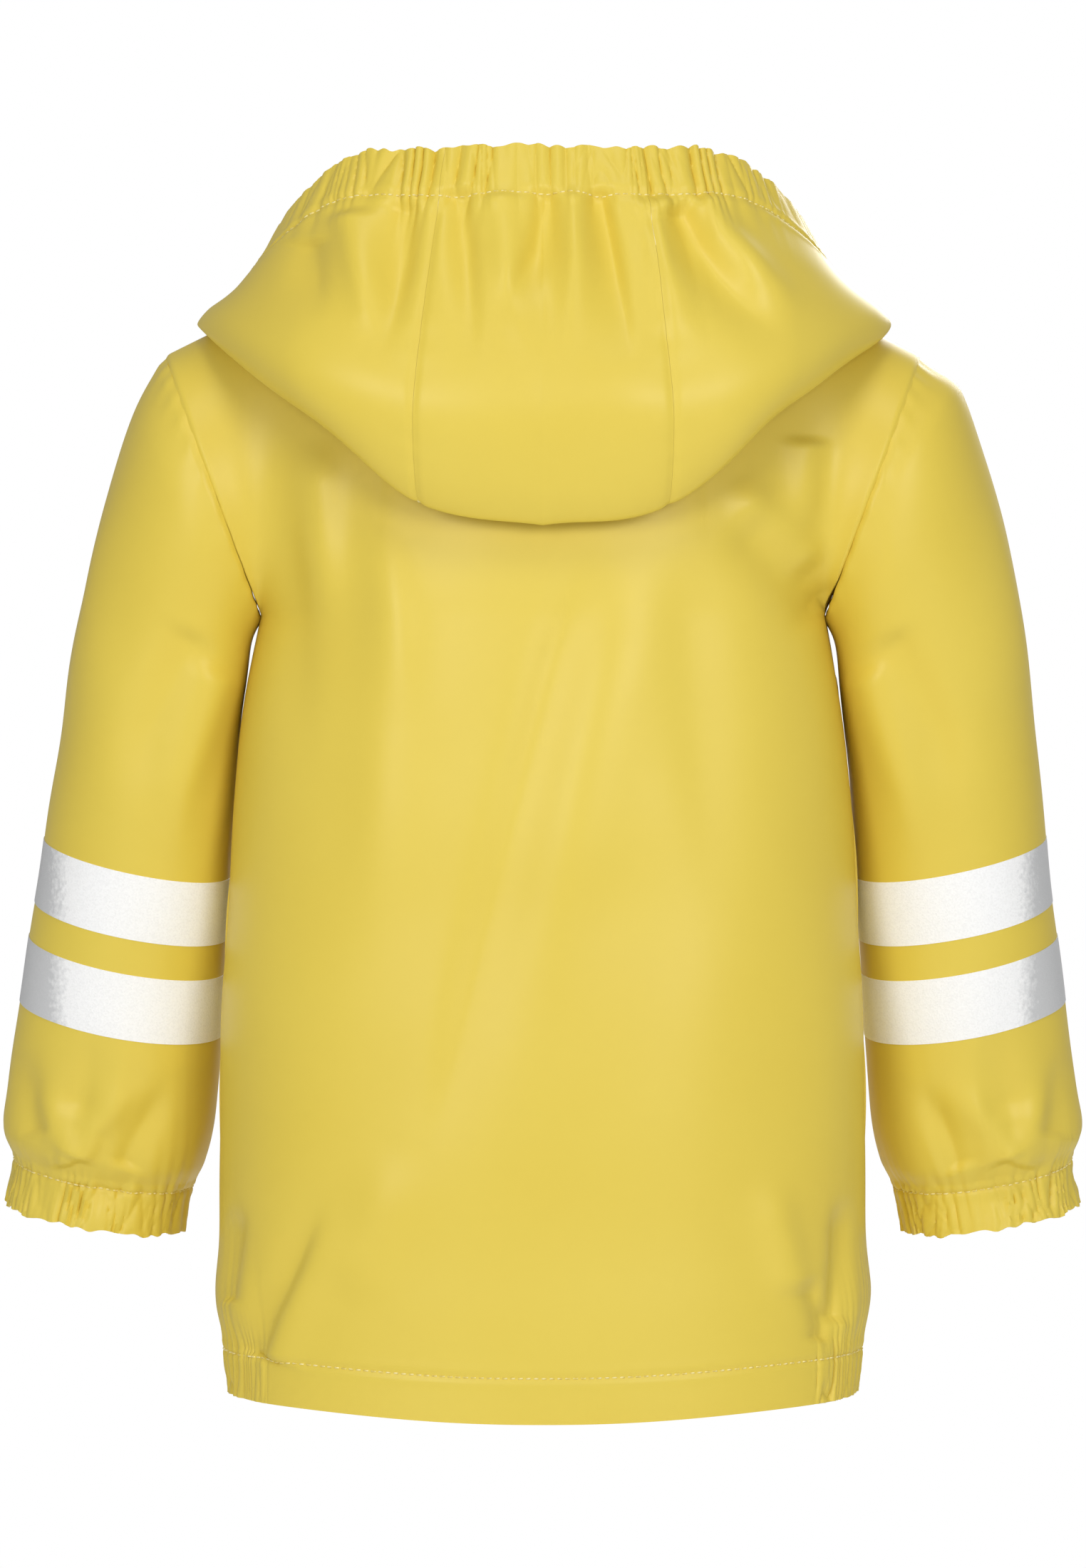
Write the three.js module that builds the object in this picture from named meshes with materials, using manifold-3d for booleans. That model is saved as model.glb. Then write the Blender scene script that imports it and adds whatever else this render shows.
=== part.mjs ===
// A child's hooded rain jacket, built as it is sewn: each cut of cloth, elastic, tape and fastener is a solid.
//
// Millimetres. +X is the wearer's left, +Y the wearer's back and +Z up. The jacket is laid out with its hem
// near z = 0, and the whole group then moves so that the origin is where the hanger loop bears on a hook.
// A surface is a function of u and v, each from 0 to 1, and sheet() gives it the thickness of the cloth.

import * as THREE from "three";
import { mergeVertices } from "three/addons/utils/BufferGeometryUtils.js";
import Module from "manifold-3d";

const wasm = await Module();
wasm.setup();

// ---------------------------------------------------------------- driving dimensions

const cloth = 1.0; // coated knit
const gap = 0.4; // between neighbouring pieces
const liningGap = 1.0; // between a panel and what is sewn or welded inside it
const bodyRound = 0.87; // 1 makes the body's plan an ellipse, less makes it squarer

const hem = { halfWidth: 139, backDepth: 84, frontDepth: 90, sideLift: 7 };
const waist = { z: 150, halfWidth: 140, backDepth: 87 };
const armpit = { z: 350, halfWidth: 122.5, backDepth: 80 };
const chest = { z: armpit.z - 60, halfWidth: 131.5, backDepth: 84 };
const shoulderTip = { x: 165, z: 463 };
const armholeHalfDepth = 42;
const neck = { halfWidth: 62, sideZ: 510, backZ: 494, backDepth: 48, frontZ: 455, frontDepth: 58 };
const neckShare = 0.36; // how much of a panel's half width runs up to the neckline

const zipEdge = 6.5; // from the centre line to a front panel's edge
const zip = { foot: 16, top: 446, pitch: 4.8, toothHeight: 1.9, toothThick: 3.0, tapeWidth: 11, tapeThick: 0.8 };
const zipDepth = 2.6; // the tape's middle lies this far behind the middle of the front panels
const slider = { length: 12, halfWidth: 5.5, wall: 1.0 };
const bridge = { halfWidth: 1.5, top: 3.4, thick: 0.8, legZ: 4.4, leg: 1.2 };
const puller = { length: 24, width: 8.5, thick: 1.2, pivotOut: 1.4 };

const stormFlap = { sewnX: 27, freeX: -29, foot: 30, top: 411, thick: 2.0, overZip: 6.4, overSnap: 5.3 };
const snap = { x: -20, count: 4, foot: 60, top: 342, capRadius: 5.8, discRadius: 4.2, postRadius: 1.4, clear: 0.6 };
const knob = { radius: 1.7, height: 1.0 };

const pocket = { nearSide: 0.2, farSide: 0.56, foot: 62, top: 152, bulge: 12 };
const pocketFlap = { overlap: 0.012, top: 170, drop: 38 };

const cuffBand = 18.5; // height of the elasticated hem of a sleeve
const elasticThick = 1.2;
const reflector = { width: 28, thick: 0.4 };
const tape = { width: 16, thick: 0.4 };
const hoodHem = 20; // height of the elasticated hem round the face opening
const hoodSeam = 0.27; // where the hood's centre panel meets a side panel, as a share of half its width
const loop = { halfWidth: 14, strandThick: 2, width: 5, y: 42, z: 501, foot: 480 };
const label = { width: 18, height: 26, thick: 0.4 };

// ---------------------------------------------------------------- small tools

const { lerp, clamp, smoothstep } = THREE.MathUtils;
const quarter = Math.PI / 2;
const point = (x, y, z) => new THREE.Vector3(x, y, z);

// A smooth curve through stations [at, value, value, ...]: the values at one place on it.
function through(stations, at) {
  const last = stations.length - 2;
  let i = stations.findIndex((_, k) => k >= last || at <= stations[k + 1][0]);
  i = Math.max(i, 0);
  const slope = (k, n) => {
    const a = stations[Math.max(k - 1, 0)];
    const b = stations[Math.min(k + 1, stations.length - 1)];
    return (b[n] - a[n]) / (b[0] - a[0]);
  };
  const [from, to] = [stations[i], stations[i + 1]];
  const span = to[0] - from[0];
  const t = clamp((at - from[0]) / span, 0, 1);
  const [t2, t3] = [t * t, t * t * t];
  return from.slice(1).map((value, m) => {
    const n = m + 1;
    return (
      (2 * t3 - 3 * t2 + 1) * value +
      (t3 - 2 * t2 + t) * span * slope(i, n) +
      (3 * t2 - 2 * t3) * to[n] +
      (t3 - t2) * span * slope(i + 1, n)
    );
  });
}

// The unit normal of a surface. Every surface here turns from u to v so that this points out of the garment.
function normalOf(place, u, v, closed) {
  const d = 2e-3;
  const wrap = (x) => (closed ? (x + 1) % 1 : clamp(x, 0, 1));
  const du = place(wrap(u + d), v).sub(place(wrap(u - d), v));
  const dv = place(u, clamp(v + d, 0, 1)).sub(place(u, clamp(v - d, 0, 1)));
  return du.cross(dv).normalize();
}

// The surface that lies `lift` outside another, where lift is a number or a function of u and v.
function lifted(place, lift) {
  return (u, v) => {
    const out = typeof lift === "function" ? lift(u, v) : lift;
    return place(u, v).addScaledVector(normalOf(place, u, v, false), out);
  };
}

const steps = (from, to, count) => Array.from({ length: count + 1 }, (_, i) => lerp(from, to, i / count));

// A closed sheet of cloth on a surface, with a corner at each of the given us and vs. With closed, the last
// column joins the first, as in a tube. Sheets that lie on each other share their us and vs where they can.
function sheet(place, us, vs, { thick = cloth, off = 0, closed = false } = {}) {
  const [columns, rows] = [us.length - 1, vs.length - 1];
  const wide = closed ? columns : columns + 1;
  const layer = wide * (rows + 1);
  const position = [];
  for (const out of [off + thick / 2, off - thick / 2]) {
    for (let j = 0; j <= rows; j++) {
      for (let i = 0; i < wide; i++) {
        const [u, v] = [us[i], vs[j]];
        const p = place(u, v).addScaledVector(normalOf(place, u, v, closed), out);
        position.push(p.x, p.y, p.z);
      }
    }
  }
  const at = (i, j, side) => side * layer + j * wide + (i % wide);
  const index = [];
  const quad = (a, b, c, d) => index.push(a, b, c, a, c, d);
  for (let j = 0; j < rows; j++) {
    for (let i = 0; i < columns; i++) {
      quad(at(i, j, 0), at(i + 1, j, 0), at(i + 1, j + 1, 0), at(i, j + 1, 0));
      quad(at(i, j, 1), at(i, j + 1, 1), at(i + 1, j + 1, 1), at(i + 1, j, 1));
    }
  }
  for (let i = 0; i < columns; i++) {
    quad(at(i, 0, 1), at(i + 1, 0, 1), at(i + 1, 0, 0), at(i, 0, 0));
    quad(at(i, rows, 0), at(i + 1, rows, 0), at(i + 1, rows, 1), at(i, rows, 1));
  }
  for (let j = 0; j < rows && !closed; j++) {
    quad(at(0, j, 0), at(0, j + 1, 0), at(0, j + 1, 1), at(0, j, 1));
    quad(at(columns, j, 1), at(columns, j + 1, 1), at(columns, j + 1, 0), at(columns, j, 0));
  }
  const geometry = new THREE.BufferGeometry();
  geometry.setAttribute("position", new THREE.Float32BufferAttribute(position, 3));
  return geometry.setIndex(index);
}

// The same surface on the wearer's other side. The u direction turns round, so that out stays out.
const mirrored = (place) => (u, v) => {
  const p = place(1 - u, v);
  return p.setX(-p.x);
};
const turned = (us) => us.map((u) => 1 - u).reverse();

function box(width, depth, height, x = 0, y = 0, z = 0) {
  return new THREE.BoxGeometry(width, depth, height).translate(x, y, z);
}

function toSolid(geometry) {
  const bare = geometry.index ? geometry.toNonIndexed() : geometry.clone();
  bare.deleteAttribute("normal");
  bare.deleteAttribute("uv");
  const merged = mergeVertices(bare, 1e-4);
  return new wasm.Manifold(
    new wasm.Mesh({
      numProp: 3,
      vertProperties: merged.attributes.position.array,
      triVerts: new Uint32Array(merged.index.array),
    }),
  );
}

function fromSolid(solid) {
  const mesh = solid.getMesh();
  const geometry = new THREE.BufferGeometry();
  geometry.setAttribute("position", new THREE.BufferAttribute(mesh.vertProperties, 3));
  return geometry.setIndex(new THREE.BufferAttribute(mesh.triVerts, 1));
}

const joined = (...all) => fromSolid(all.map(toSolid).reduce((a, b) => a.add(b)));
const cut = (from, ...tools) => fromSolid(tools.map(toSolid).reduce((a, b) => a.subtract(b), toSolid(from)));

// ---------------------------------------------------------------- materials

const finish = (color, roughness, metalness = 0) => new THREE.MeshStandardMaterial({ color, roughness, metalness });
const coatedCloth = finish("#e3c23c", 0.42);
const clothInside = finish("#dcc46a", 0.85);
const reflective = finish("#f1f1f0", 0.35, 0.2);
const elastic = finish("#f4f2ec", 0.9);
const seamTape = finish("#e9d98c", 0.5);
const zipTape = finish("#d8b93a", 0.85);
const zipPlastic = finish("#e0bd35", 0.35);
const nickel = finish("#c9c9c6", 0.25, 1);
const labelCloth = finish("#f6f6f3", 0.7);

const jacket = new THREE.Group();

function add(name, geometry, material, parent = jacket) {
  const mesh = new THREE.Mesh(geometry, material);
  mesh.name = name;
  parent.add(mesh);
  return mesh;
}

// Each side of the wearer: its name, and its sign along X.
const sides = [
  ["left", 1],
  ["right", -1],
];
const onSide = (place, sign) => (sign > 0 ? place : mirrored(place));

// ---------------------------------------------------------------- body

const widthStations = [
  [0, hem.halfWidth],
  [waist.z, waist.halfWidth],
  [chest.z, chest.halfWidth],
  [armpit.z, armpit.halfWidth],
];
const backStations = [
  [0, hem.backDepth],
  [waist.z, waist.backDepth],
  [chest.z, chest.backDepth],
  [armpit.z, armpit.backDepth],
];
const frontLean = (hem.frontDepth - neck.frontDepth) / neck.frontZ; // the centre front is straight
const frontDepthAt = (z) => hem.frontDepth - frontLean * z;

// The left half of the back (face 1) or front (face -1) as (s, h): s from 0 at the centre edge to 1 at the
// side seam and armhole; h from 0 at the hem to 1 at the armpit and 2 at the neckline and shoulder seam.
function bodyBelow(face, s, h) {
  const edge = face > 0 ? 0 : zipEdge;
  const z = lerp(hem.sideLift * s * s, armpit.z, h);
  const halfWidth = through(widthStations, z)[0];
  const depth = face > 0 ? through(backStations, z)[0] : frontDepthAt(z);
  const x = edge + (halfWidth - edge) * Math.sin(s * quarter) ** bodyRound;
  const y = gap / 2 + (depth - gap / 2) * Math.max(Math.cos(s * quarter), 0) ** bodyRound;
  return point(x, face * y, z);
}

function topEdge(face, s) {
  const edge = face > 0 ? 0 : zipEdge;
  const [depth, low] = face > 0 ? [neck.backDepth, neck.backZ] : [neck.frontDepth, neck.frontZ];
  if (s <= neckShare) {
    const turn = (s / neckShare) * quarter;
    const x = lerp(edge, neck.halfWidth, Math.sin(turn));
    const y = lerp(gap / 2, depth, Math.cos(turn));
    return point(x, face * y, lerp(low, neck.sideZ, Math.sin(turn) ** 2));
  }
  const q = (s - neckShare) / (1 - neckShare);
  const z = lerp(neck.sideZ, shoulderTip.z, q ** 1.1);
  return point(lerp(neck.halfWidth, shoulderTip.x, q), (face * gap) / 2, z);
}

function body(face, s, h) {
  if (h <= 1) return bodyBelow(face, s, h);
  const t = h - 1;
  const foot = bodyBelow(face, s, 1);
  const head = topEdge(face, s);
  const swell = s ** 4;
  const across = (1 - Math.cos(Math.PI * t)) / 2;
  const rise = lerp(Math.sin(t * quarter), across, swell);
  const straight = face > 0 ? 0 : 1 - smoothstep(s, 0, neckShare);
  const fall = lerp(Math.cos(t * quarter), 1 - rise, straight);
  const x = lerp(foot.x, head.x, across);
  const y = lerp(head.y, foot.y, fall) + face * armholeHalfDepth * swell * Math.sin(Math.PI * t);
  return point(x, y, lerp(foot.z, head.z, rise));
}

// Panels as surfaces. v runs up from the hem, and u runs so that out is out.
const backPanel = (u, v) => {
  const s = 1 - 2 * u;
  const p = body(1, Math.abs(s), 2 * v);
  return p.setX(s < 0 ? -p.x : p.x);
};
const frontPanel = (u, v) => body(-1, u, 2 * v);

const bodyVs = [...steps(0, 0.5, 7), 0.56, 0.63, 0.7, 0.78, 0.86, 0.94, 1];
const halfBackUs = [0, 0.035, 0.07, 0.13, 0.19, 0.25, 0.32, 0.38, 0.44];
const backUs = [...halfBackUs, 0.5, ...turned(halfBackUs)];
const frontUs = [0, 0.05, 0.16, 0.3, 0.44, 0.56, 0.68, 0.8, 0.88, 0.94, 1];

function makeBody() {
  add("back_panel", sheet(backPanel, backUs, bodyVs), coatedCloth);
  const studs = snapHeights.map((z) => placedInZip(postHole(), snap.x, 0, z));
  const right = sheet(mirrored(frontPanel), turned(frontUs), bodyVs);
  add("front_panel_left", sheet(frontPanel, frontUs, bodyVs), coatedCloth);
  add("front_panel_right", cut(right, ...studs), coatedCloth);
}

// A strip inside a seam between front and back: v runs along the seam, and u across it from front to back.
function acrossSeam(edgeOf, halfWidth) {
  return (u, v) => {
    const reach = (2 * u - 1) * halfWidth;
    return edgeOf(reach < 0 ? -1 : 1, Math.abs(reach), v);
  };
}

function makeSeamTapes() {
  const options = { thick: tape.thick, off: -(cloth / 2 + liningGap + tape.thick / 2) };
  const sideReach = tape.width / 2 / hem.halfWidth;
  const shoulderReach = tape.width / 2 / (armpit.halfWidth * 1.7);
  const sideSeam = acrossSeam((face, d, v) => body(face, 1 - d, v), sideReach);
  const shoulderSeam = acrossSeam((face, d, v) => {
    const p = body(face, lerp(0.97, neckShare + 0.03, v), 2 - d);
    return p.setZ(p.z - 1.2);
  }, shoulderReach);
  const sideVs = [0.09, ...bodyVs.slice(1, 7).map((v) => 2 * v), 0.985];
  for (const [side, sign] of sides) {
    const us = [0, 0.5, 1];
    add(`side_seam_tape_${side}`, sheet(onSide(sideSeam, sign), us, sideVs, options), seamTape);
    add(`shoulder_seam_tape_${side}`, sheet(onSide(shoulderSeam, sign), us, steps(0, 1, 5), options), seamTape);
  }
}

function makeHemElastics() {
  const options = { thick: elasticThick, off: -(cloth / 2 + liningGap + elasticThick / 2) };
  const aroundSide = acrossSeam((face, d, v) => body(face, 1 - d, v), 0.3);
  const vs = [3 / armpit.z, 20 / armpit.z];
  for (const [side, sign] of sides) {
    add(`hem_elastic_${side}`, sheet(onSide(aroundSide, sign), steps(0, 1, 8), vs, options), elastic);
  }
}

// ---------------------------------------------------------------- sleeves

// Rings down the left sleeve: [place, outer x, outer z, clearance from the body, inner z, half depth, centre y,
// lean degrees]. The last four rings stand away from the body towards the hand.
const sleeveRings = [
  [0, shoulderTip.x, shoulderTip.z, 0, armpit.z, armholeHalfDepth, 0, 0],
  [1, 179, 437, 5.0, 338, 43, -2, 0],
  [2, 192, 395, 3.0, 319, 43, -8, 2],
  [3, 203, 346, 1.8, 293, 42, -14, 5],
  [4, 211, 298, 1.2, 266, 41, -20, 8],
  [5, 217, 258, 1.0, 241, 40, -26, 11],
  [6, 222, 226, 0.6, 210, 40, -32, 13],
  [7, 228, 185, 1.2, 170, 39, -40, 14],
  [8, 233, 147, 4, 133, 38, -48, 14],
  [9, 234.5, 127, 10, 114, 36, -53, 13],
  [10, 231.5, 112.5, 15, 101, 33, -57, 12],
  [11, 235.5, 112.5 - cuffBand, 18, 101 - cuffBand, 35, -60, 11],
].map(([ring, outX, outZ, clear, inZ, ...rest]) => {
  const z = inZ + (armpit.z - 350) * (1 - ring / 11);
  return [ring, outX, outZ, through(widthStations, z)[0] + clear, z, ...rest];
});
const seamClear = 0.19; // the sleeve starts this far down its first ring, clear of the armhole's edge

function sleeve(u, v) {
  const at = lerp(seamClear, 11, v);
  const [ox, oz, ix, iz, halfDepth, y, lean] = through(sleeveRings, at);
  const turn = u * 2 * Math.PI;
  const [c, s] = [Math.cos(turn), -Math.sin(turn)];
  const tip = THREE.MathUtils.degToRad(lean);
  const x = (ox + ix) / 2 + ((ox - ix) / 2) * c;
  const z = (oz + iz) / 2 + ((oz - iz) / 2) * c - halfDepth * s * Math.sin(tip);
  return point(x, y + halfDepth * s * Math.cos(tip), z);
}
const sleeveAt = (ring) => (ring - seamClear) / (11 - seamClear);

function makeSleeves() {
  const bandOff = cloth / 2 + gap + reflector.thick / 2;
  const cuffOff = -(cloth / 2 + liningGap + elasticThick / 2);
  const bands = { upper: 5.13, lower: 6.38 };
  const us = steps(0, 1, 18);
  const tube = { closed: true };
  for (const [side, sign] of sides) {
    const surface = onSide(sleeve, sign);
    add(`sleeve_${side}`, sheet(surface, us, steps(0, 1, 11), tube), coatedCloth);
    for (const [name, ring] of Object.entries(bands)) {
      const outerHeight = (at) => through(sleeveRings, at)[1];
      const span = reflector.width / (outerHeight(ring) - outerHeight(ring + 1));
      const vs = steps(sleeveAt(ring), sleeveAt(ring + span), 2);
      const band = sheet(surface, us, vs, { ...tube, thick: reflector.thick, off: bandOff });
      add(`reflective_band_${name}_${side}`, band, reflective);
    }
    const cuff = sheet(surface, us, [sleeveAt(10.08), sleeveAt(10.9)], { ...tube, thick: elasticThick, off: cuffOff });
    add(`cuff_elastic_${side}`, cuff, elastic);
  }
}

// ---------------------------------------------------------------- hood

// The hood lies folded down on the back. Each rib runs from the neck seam (row 0) out under the hood, round its
// fold and up its outer side to the hem of the face opening (last two rows). Ribs go from the centre back (u = 0)
// to the throat (u = 1) on the left.
const hoodRows = [0, 0.07, 0.22, 0.44, 0.66, 1 - hoodHem / 210, 1];
const hoodRibs = [
  [0, [0, 50.5, 498], [0, 61, 491], [0, 83, 440], [0, 94, 389], [0, 113, 443], [0, 88, 534], [0, 81, 555]],
  [
    hoodSeam,
    [26, 47, 500.5],
    [29, 57, 494],
    [48, 81, 445],
    [54, 91, 398],
    [56, 109, 445],
    [45, 85, 533],
    [42, 78, 554],
  ],
  [0.5, [51, 32, 508], [58, 40, 506], [92, 69, 468], [101, 78, 434], [111, 86, 461], [101, 62, 528], [95, 55, 549]],
  [0.72, [64, 3, 515], [75, 4, 514], [112, 8, 497], [148, 6, 477], [147, 13, 484], [140, 14, 493], [131, 12, 509]],
  [0.87, [51, -40, 495], [58, -47, 493], [78, -56, 484], [105, -61, 462], [106, -62, 469], [99, -50, 486], [92, -43, 498]],
  [1, [10, -62, 460], [12, -65, 461], [15, -68, 459], [19, -75, 447], [19, -77, 455], [15, -73, 467], [12, -69, 477]],
];

function hoodLeft(u, v) {
  const rows = hoodRows.map((at, k) => {
    const along = hoodRibs.map((rib) => [rib[0], ...rib[k + 1]]);
    return [at, ...through(along, u)];
  });
  return point(...through(rows, v));
}

// The whole hood: u from 0 at the left throat to 1 at the right throat.
function hood(u, v) {
  const s = 1 - 2 * u;
  const p = hoodLeft(Math.abs(s), v);
  return p.setX(s < 0 ? -p.x : p.x);
}

function makeHood() {
  const seam = (1 - hoodSeam) / 2;
  const clear = gap / 2 / 260;
  const sideUs = steps(0, seam - clear, 11);
  const centreUs = steps(seam + clear, 1 - seam - clear, 6);
  const vs = [0, 0.07, 0.14, 0.22, 0.3, 0.36, 0.41, 0.46, 0.52, 0.59, 0.66, 0.78, hoodRows[5], 1];
  add("hood_centre_panel", sheet(hood, centreUs, vs), coatedCloth);
  const reach = tape.width / 2 / 300;
  const tapeOptions = { thick: tape.thick, off: -(cloth / 2 + liningGap + 0.4 + tape.thick / 2) };
  for (const [side, sign] of sides) {
    const surface = onSide(hood, sign);
    add(`hood_side_panel_${side}`, sheet(surface, sign > 0 ? sideUs : turned(sideUs), vs), coatedCloth);
    const strip = [seam - reach, seam - clear, seam + clear, seam + reach];
    const tapeSheet = sheet(surface, sign > 0 ? strip : turned(strip), vs.slice(1, 12), tapeOptions);
    add(`hood_seam_tape_${side}`, tapeSheet, seamTape);
  }
  const bandUs = [...sideUs.slice(4), ...centreUs, ...turned(sideUs.slice(4))];
  const options = { thick: elasticThick, off: -(cloth / 2 + liningGap + elasticThick / 2) };
  add("hood_elastic", sheet(hood, bandUs, [hoodRows[5] + 0.012, 0.985], options), elastic);
}

// ---------------------------------------------------------------- neck

function makeNeck() {
  const options = { thick: tape.thick, off: -(cloth / 2 + liningGap + tape.thick / 2) };
  add("neck_facing", sheet(backPanel, backUs.slice(6, 13), [0.95, 0.99], options), seamTape);

  const arch = new THREE.Shape();
  const { halfWidth, strandThick, width } = loop;
  const [top, foot] = [strandThick, loop.foot - loop.z];
  arch.moveTo(-halfWidth, foot);
  arch.lineTo(-halfWidth, top - 3);
  arch.absarc(3 - halfWidth, top - 3, 3, Math.PI, quarter, true);
  arch.absarc(halfWidth - 3, top - 3, 3, quarter, 0, true);
  arch.lineTo(halfWidth, foot);
  arch.lineTo(halfWidth - strandThick, foot);
  arch.absarc(halfWidth - 3, top - 3, 1, 0, quarter, false);
  arch.absarc(3 - halfWidth, top - 3, 1, quarter, Math.PI, false);
  arch.lineTo(strandThick - halfWidth, foot);
  const strap = new THREE.ExtrudeGeometry(arch, { depth: width, bevelEnabled: false, curveSegments: 4 });
  strap.rotateX(quarter);
  add("hanger_loop", strap, coatedCloth).position.set(0, loop.y + width / 2, loop.z);

  const tag = box(label.width, label.thick, label.height);
  add("care_label", tag, labelCloth).position.set(0, loop.y + 2.4, loop.foot - label.height / 2 - 1);
}

// ---------------------------------------------------------------- front zip

// The zip's own frame: its foot is at the hem on the centre line, z runs up the zip and -y points out.
const zipFrame = new THREE.Group();
zipFrame.position.set(0, -hem.frontDepth, 0);
zipFrame.rotation.x = -Math.atan(frontLean);
zipFrame.updateMatrixWorld(true);
jacket.add(zipFrame);

const snapStep = (snap.top - snap.foot) / (snap.count - 1);
const snapHeights = Array.from({ length: snap.count }, (_, i) => snap.foot + i * snapStep);

// A solid made round the z axis, turned to stand on the front (its z pointing out) at x, z up the zip.
function standing(geometry, x, out, z) {
  return geometry.rotateX(quarter).translate(x, -out, z);
}
const placedInZip = (geometry, x, out, z) => standing(geometry, x, out, z).applyMatrix4(zipFrame.matrix);

function makeZipTapes() {
  const { foot, top, tapeWidth, tapeThick } = zip;
  for (const [side, sign] of sides) {
    const strip = box(tapeWidth, tapeThick, top - foot + 14, 0, zipDepth, (top + foot) / 2);
    strip.translate(sign * (3.2 + gap + tapeWidth / 2), 0, 0);
    add(`zip_tape_${side}`, strip, zipTape, zipFrame);
  }
}

// One side's teeth with the spine that they are moulded on, as one comb.
function comb(sign) {
  const { foot, top, pitch, toothHeight, toothThick } = zip;
  const [tip, root, back] = [-0.9, 1.9, 3.2];
  const start = foot + (sign > 0 ? 0 : pitch / 2);
  const count = Math.floor((top - start) / pitch);
  const outline = new THREE.Shape();
  outline.moveTo(sign * back, foot);
  outline.lineTo(sign * root, foot);
  for (let i = 0; i < count; i++) {
    const z = start + (i + 0.25) * pitch;
    outline.lineTo(sign * root, z);
    outline.lineTo(sign * tip, z + 0.15);
    outline.lineTo(sign * tip, z + toothHeight - 0.15);
    outline.lineTo(sign * root, z + toothHeight);
  }
  outline.lineTo(sign * root, top);
  outline.lineTo(sign * back, top);
  const solid = new THREE.ExtrudeGeometry(outline, { depth: toothThick, bevelEnabled: false });
  return solid.rotateX(quarter).translate(0, zipDepth + toothThick / 2, 0);
}

function makeZip() {
  makeZipTapes();
  for (const [side, sign] of sides) {
    add(`zip_teeth_${side}`, comb(sign), zipPlastic, zipFrame);
    const stop = box(2.8, zip.toothThick, 3, sign * 1.8, zipDepth, zip.top + 1.5 + gap);
    add(`zip_top_stop_${side}`, stop, zipPlastic, zipFrame);
  }
  const pinHole = box(2.4, 2.4, 20, -1.9, zipDepth, zip.foot - 6);
  const block = box(6.6, 4.6, 10, -0.1, zipDepth, zip.foot - 5.5);
  add("zip_bottom_box", cut(block, pinHole), zipPlastic, zipFrame);
  add("zip_bottom_pin", box(1.6, 1.6, 10, -1.9, zipDepth, zip.foot - 5.5), zipPlastic, zipFrame);
}

function makeSlider() {
  const { length, halfWidth, wall } = slider;
  const inner = zip.toothThick / 2 + 0.3;
  const z = zip.top - length / 2;
  const flange = inner - zip.tapeThick / 2 - gap;
  const shell = (face) => {
    const plate = box(2 * halfWidth, wall, length, 0, zipDepth + face * (inner + wall / 2), 0);
    const wallY = zipDepth + face * (inner - flange / 2 + 0.05);
    const walls = [-1, 1].map((sign) =>
      box(wall, flange + 0.1, length, sign * (halfWidth - wall / 2), wallY, 0),
    );
    return [plate, ...walls];
  };
  const plateFace = inner + wall - zipDepth;
  const legs = [-1, 1].map((sign) => {
    const height = bridge.top - plateFace + 0.2;
    return box(2 * bridge.halfWidth, height, bridge.leg, 0, height / 2 - bridge.top, sign * bridge.legZ);
  });
  const beamLength = 2 * bridge.legZ + bridge.leg;
  const beam = box(2 * bridge.halfWidth, bridge.thick, beamLength, 0, bridge.thick / 2 - bridge.top, 0);
  add("zip_slider", joined(...shell(-1), beam, ...legs), nickel, zipFrame).position.z = z;
  add("zip_slider_back", joined(...shell(1)), nickel, zipFrame).position.z = z;

  const outline = new THREE.Shape();
  const half = puller.width / 2;
  outline.moveTo(-half + 1, 0.7);
  outline.lineTo(half - 1, 0.7);
  outline.lineTo(half - 0.6, -8);
  outline.absarc(half - 2, 2 - puller.length, 2, 0, -quarter, true);
  outline.absarc(2 - half, 2 - puller.length, 2, -quarter, -Math.PI, true);
  outline.lineTo(0.6 - half, -8);
  const eye = new THREE.Path();
  eye.moveTo(-2.1, -0.6);
  eye.lineTo(-2.1, -6.4);
  eye.lineTo(2.1, -6.4);
  eye.lineTo(2.1, -0.6);
  outline.holes.push(eye);
  const tab = new THREE.ExtrudeGeometry(outline, { depth: puller.thick, bevelEnabled: false, curveSegments: 3 });
  tab.rotateX(quarter).translate(0, puller.thick / 2, 0);
  add("zip_puller", tab, nickel, zipFrame).position.set(0, -puller.pivotOut, z);
}

// ---------------------------------------------------------------- storm flap and its press studs

// How far the flap's middle stands out from the front panels across its width.
const flapRise = [
  [-stormFlap.sewnX, 2.2],
  [-15, 5],
  [0, stormFlap.overZip],
  [-snap.x - 7, stormFlap.overSnap],
  [-snap.x + 7, stormFlap.overSnap],
  [-stormFlap.freeX, stormFlap.overSnap],
];

function stormFlapSheet(u, v) {
  const x = lerp(stormFlap.freeX, stormFlap.sewnX, u);
  return point(x, -through(flapRise, -x)[0], lerp(stormFlap.foot, stormFlap.top, v));
}

const postHole = () => new THREE.CylinderGeometry(snap.postRadius + 0.35, snap.postRadius + 0.35, 6, 10).rotateX(quarter);

// Profiles are (radius, height) with height measured out from the middle of the front panel.
const lathe = (profile) => new THREE.LatheGeometry(profile.map(([r, h]) => new THREE.Vector2(r, h)), 12);

function stud() {
  const [inside, outside] = [cloth / 2 + snap.clear, cloth / 2 + snap.clear];
  const disc = snap.discRadius;
  const seat = outside + 0.8;
  return lathe([
    [0, -inside - 0.8],
    [disc, -inside - 0.8],
    [disc, -inside],
    [snap.postRadius, -inside],
    [snap.postRadius, outside],
    [disc, outside],
    [disc, seat],
    [knob.radius, seat],
    [knob.radius, seat + knob.height],
    [0, seat + knob.height],
  ]);
}

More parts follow.
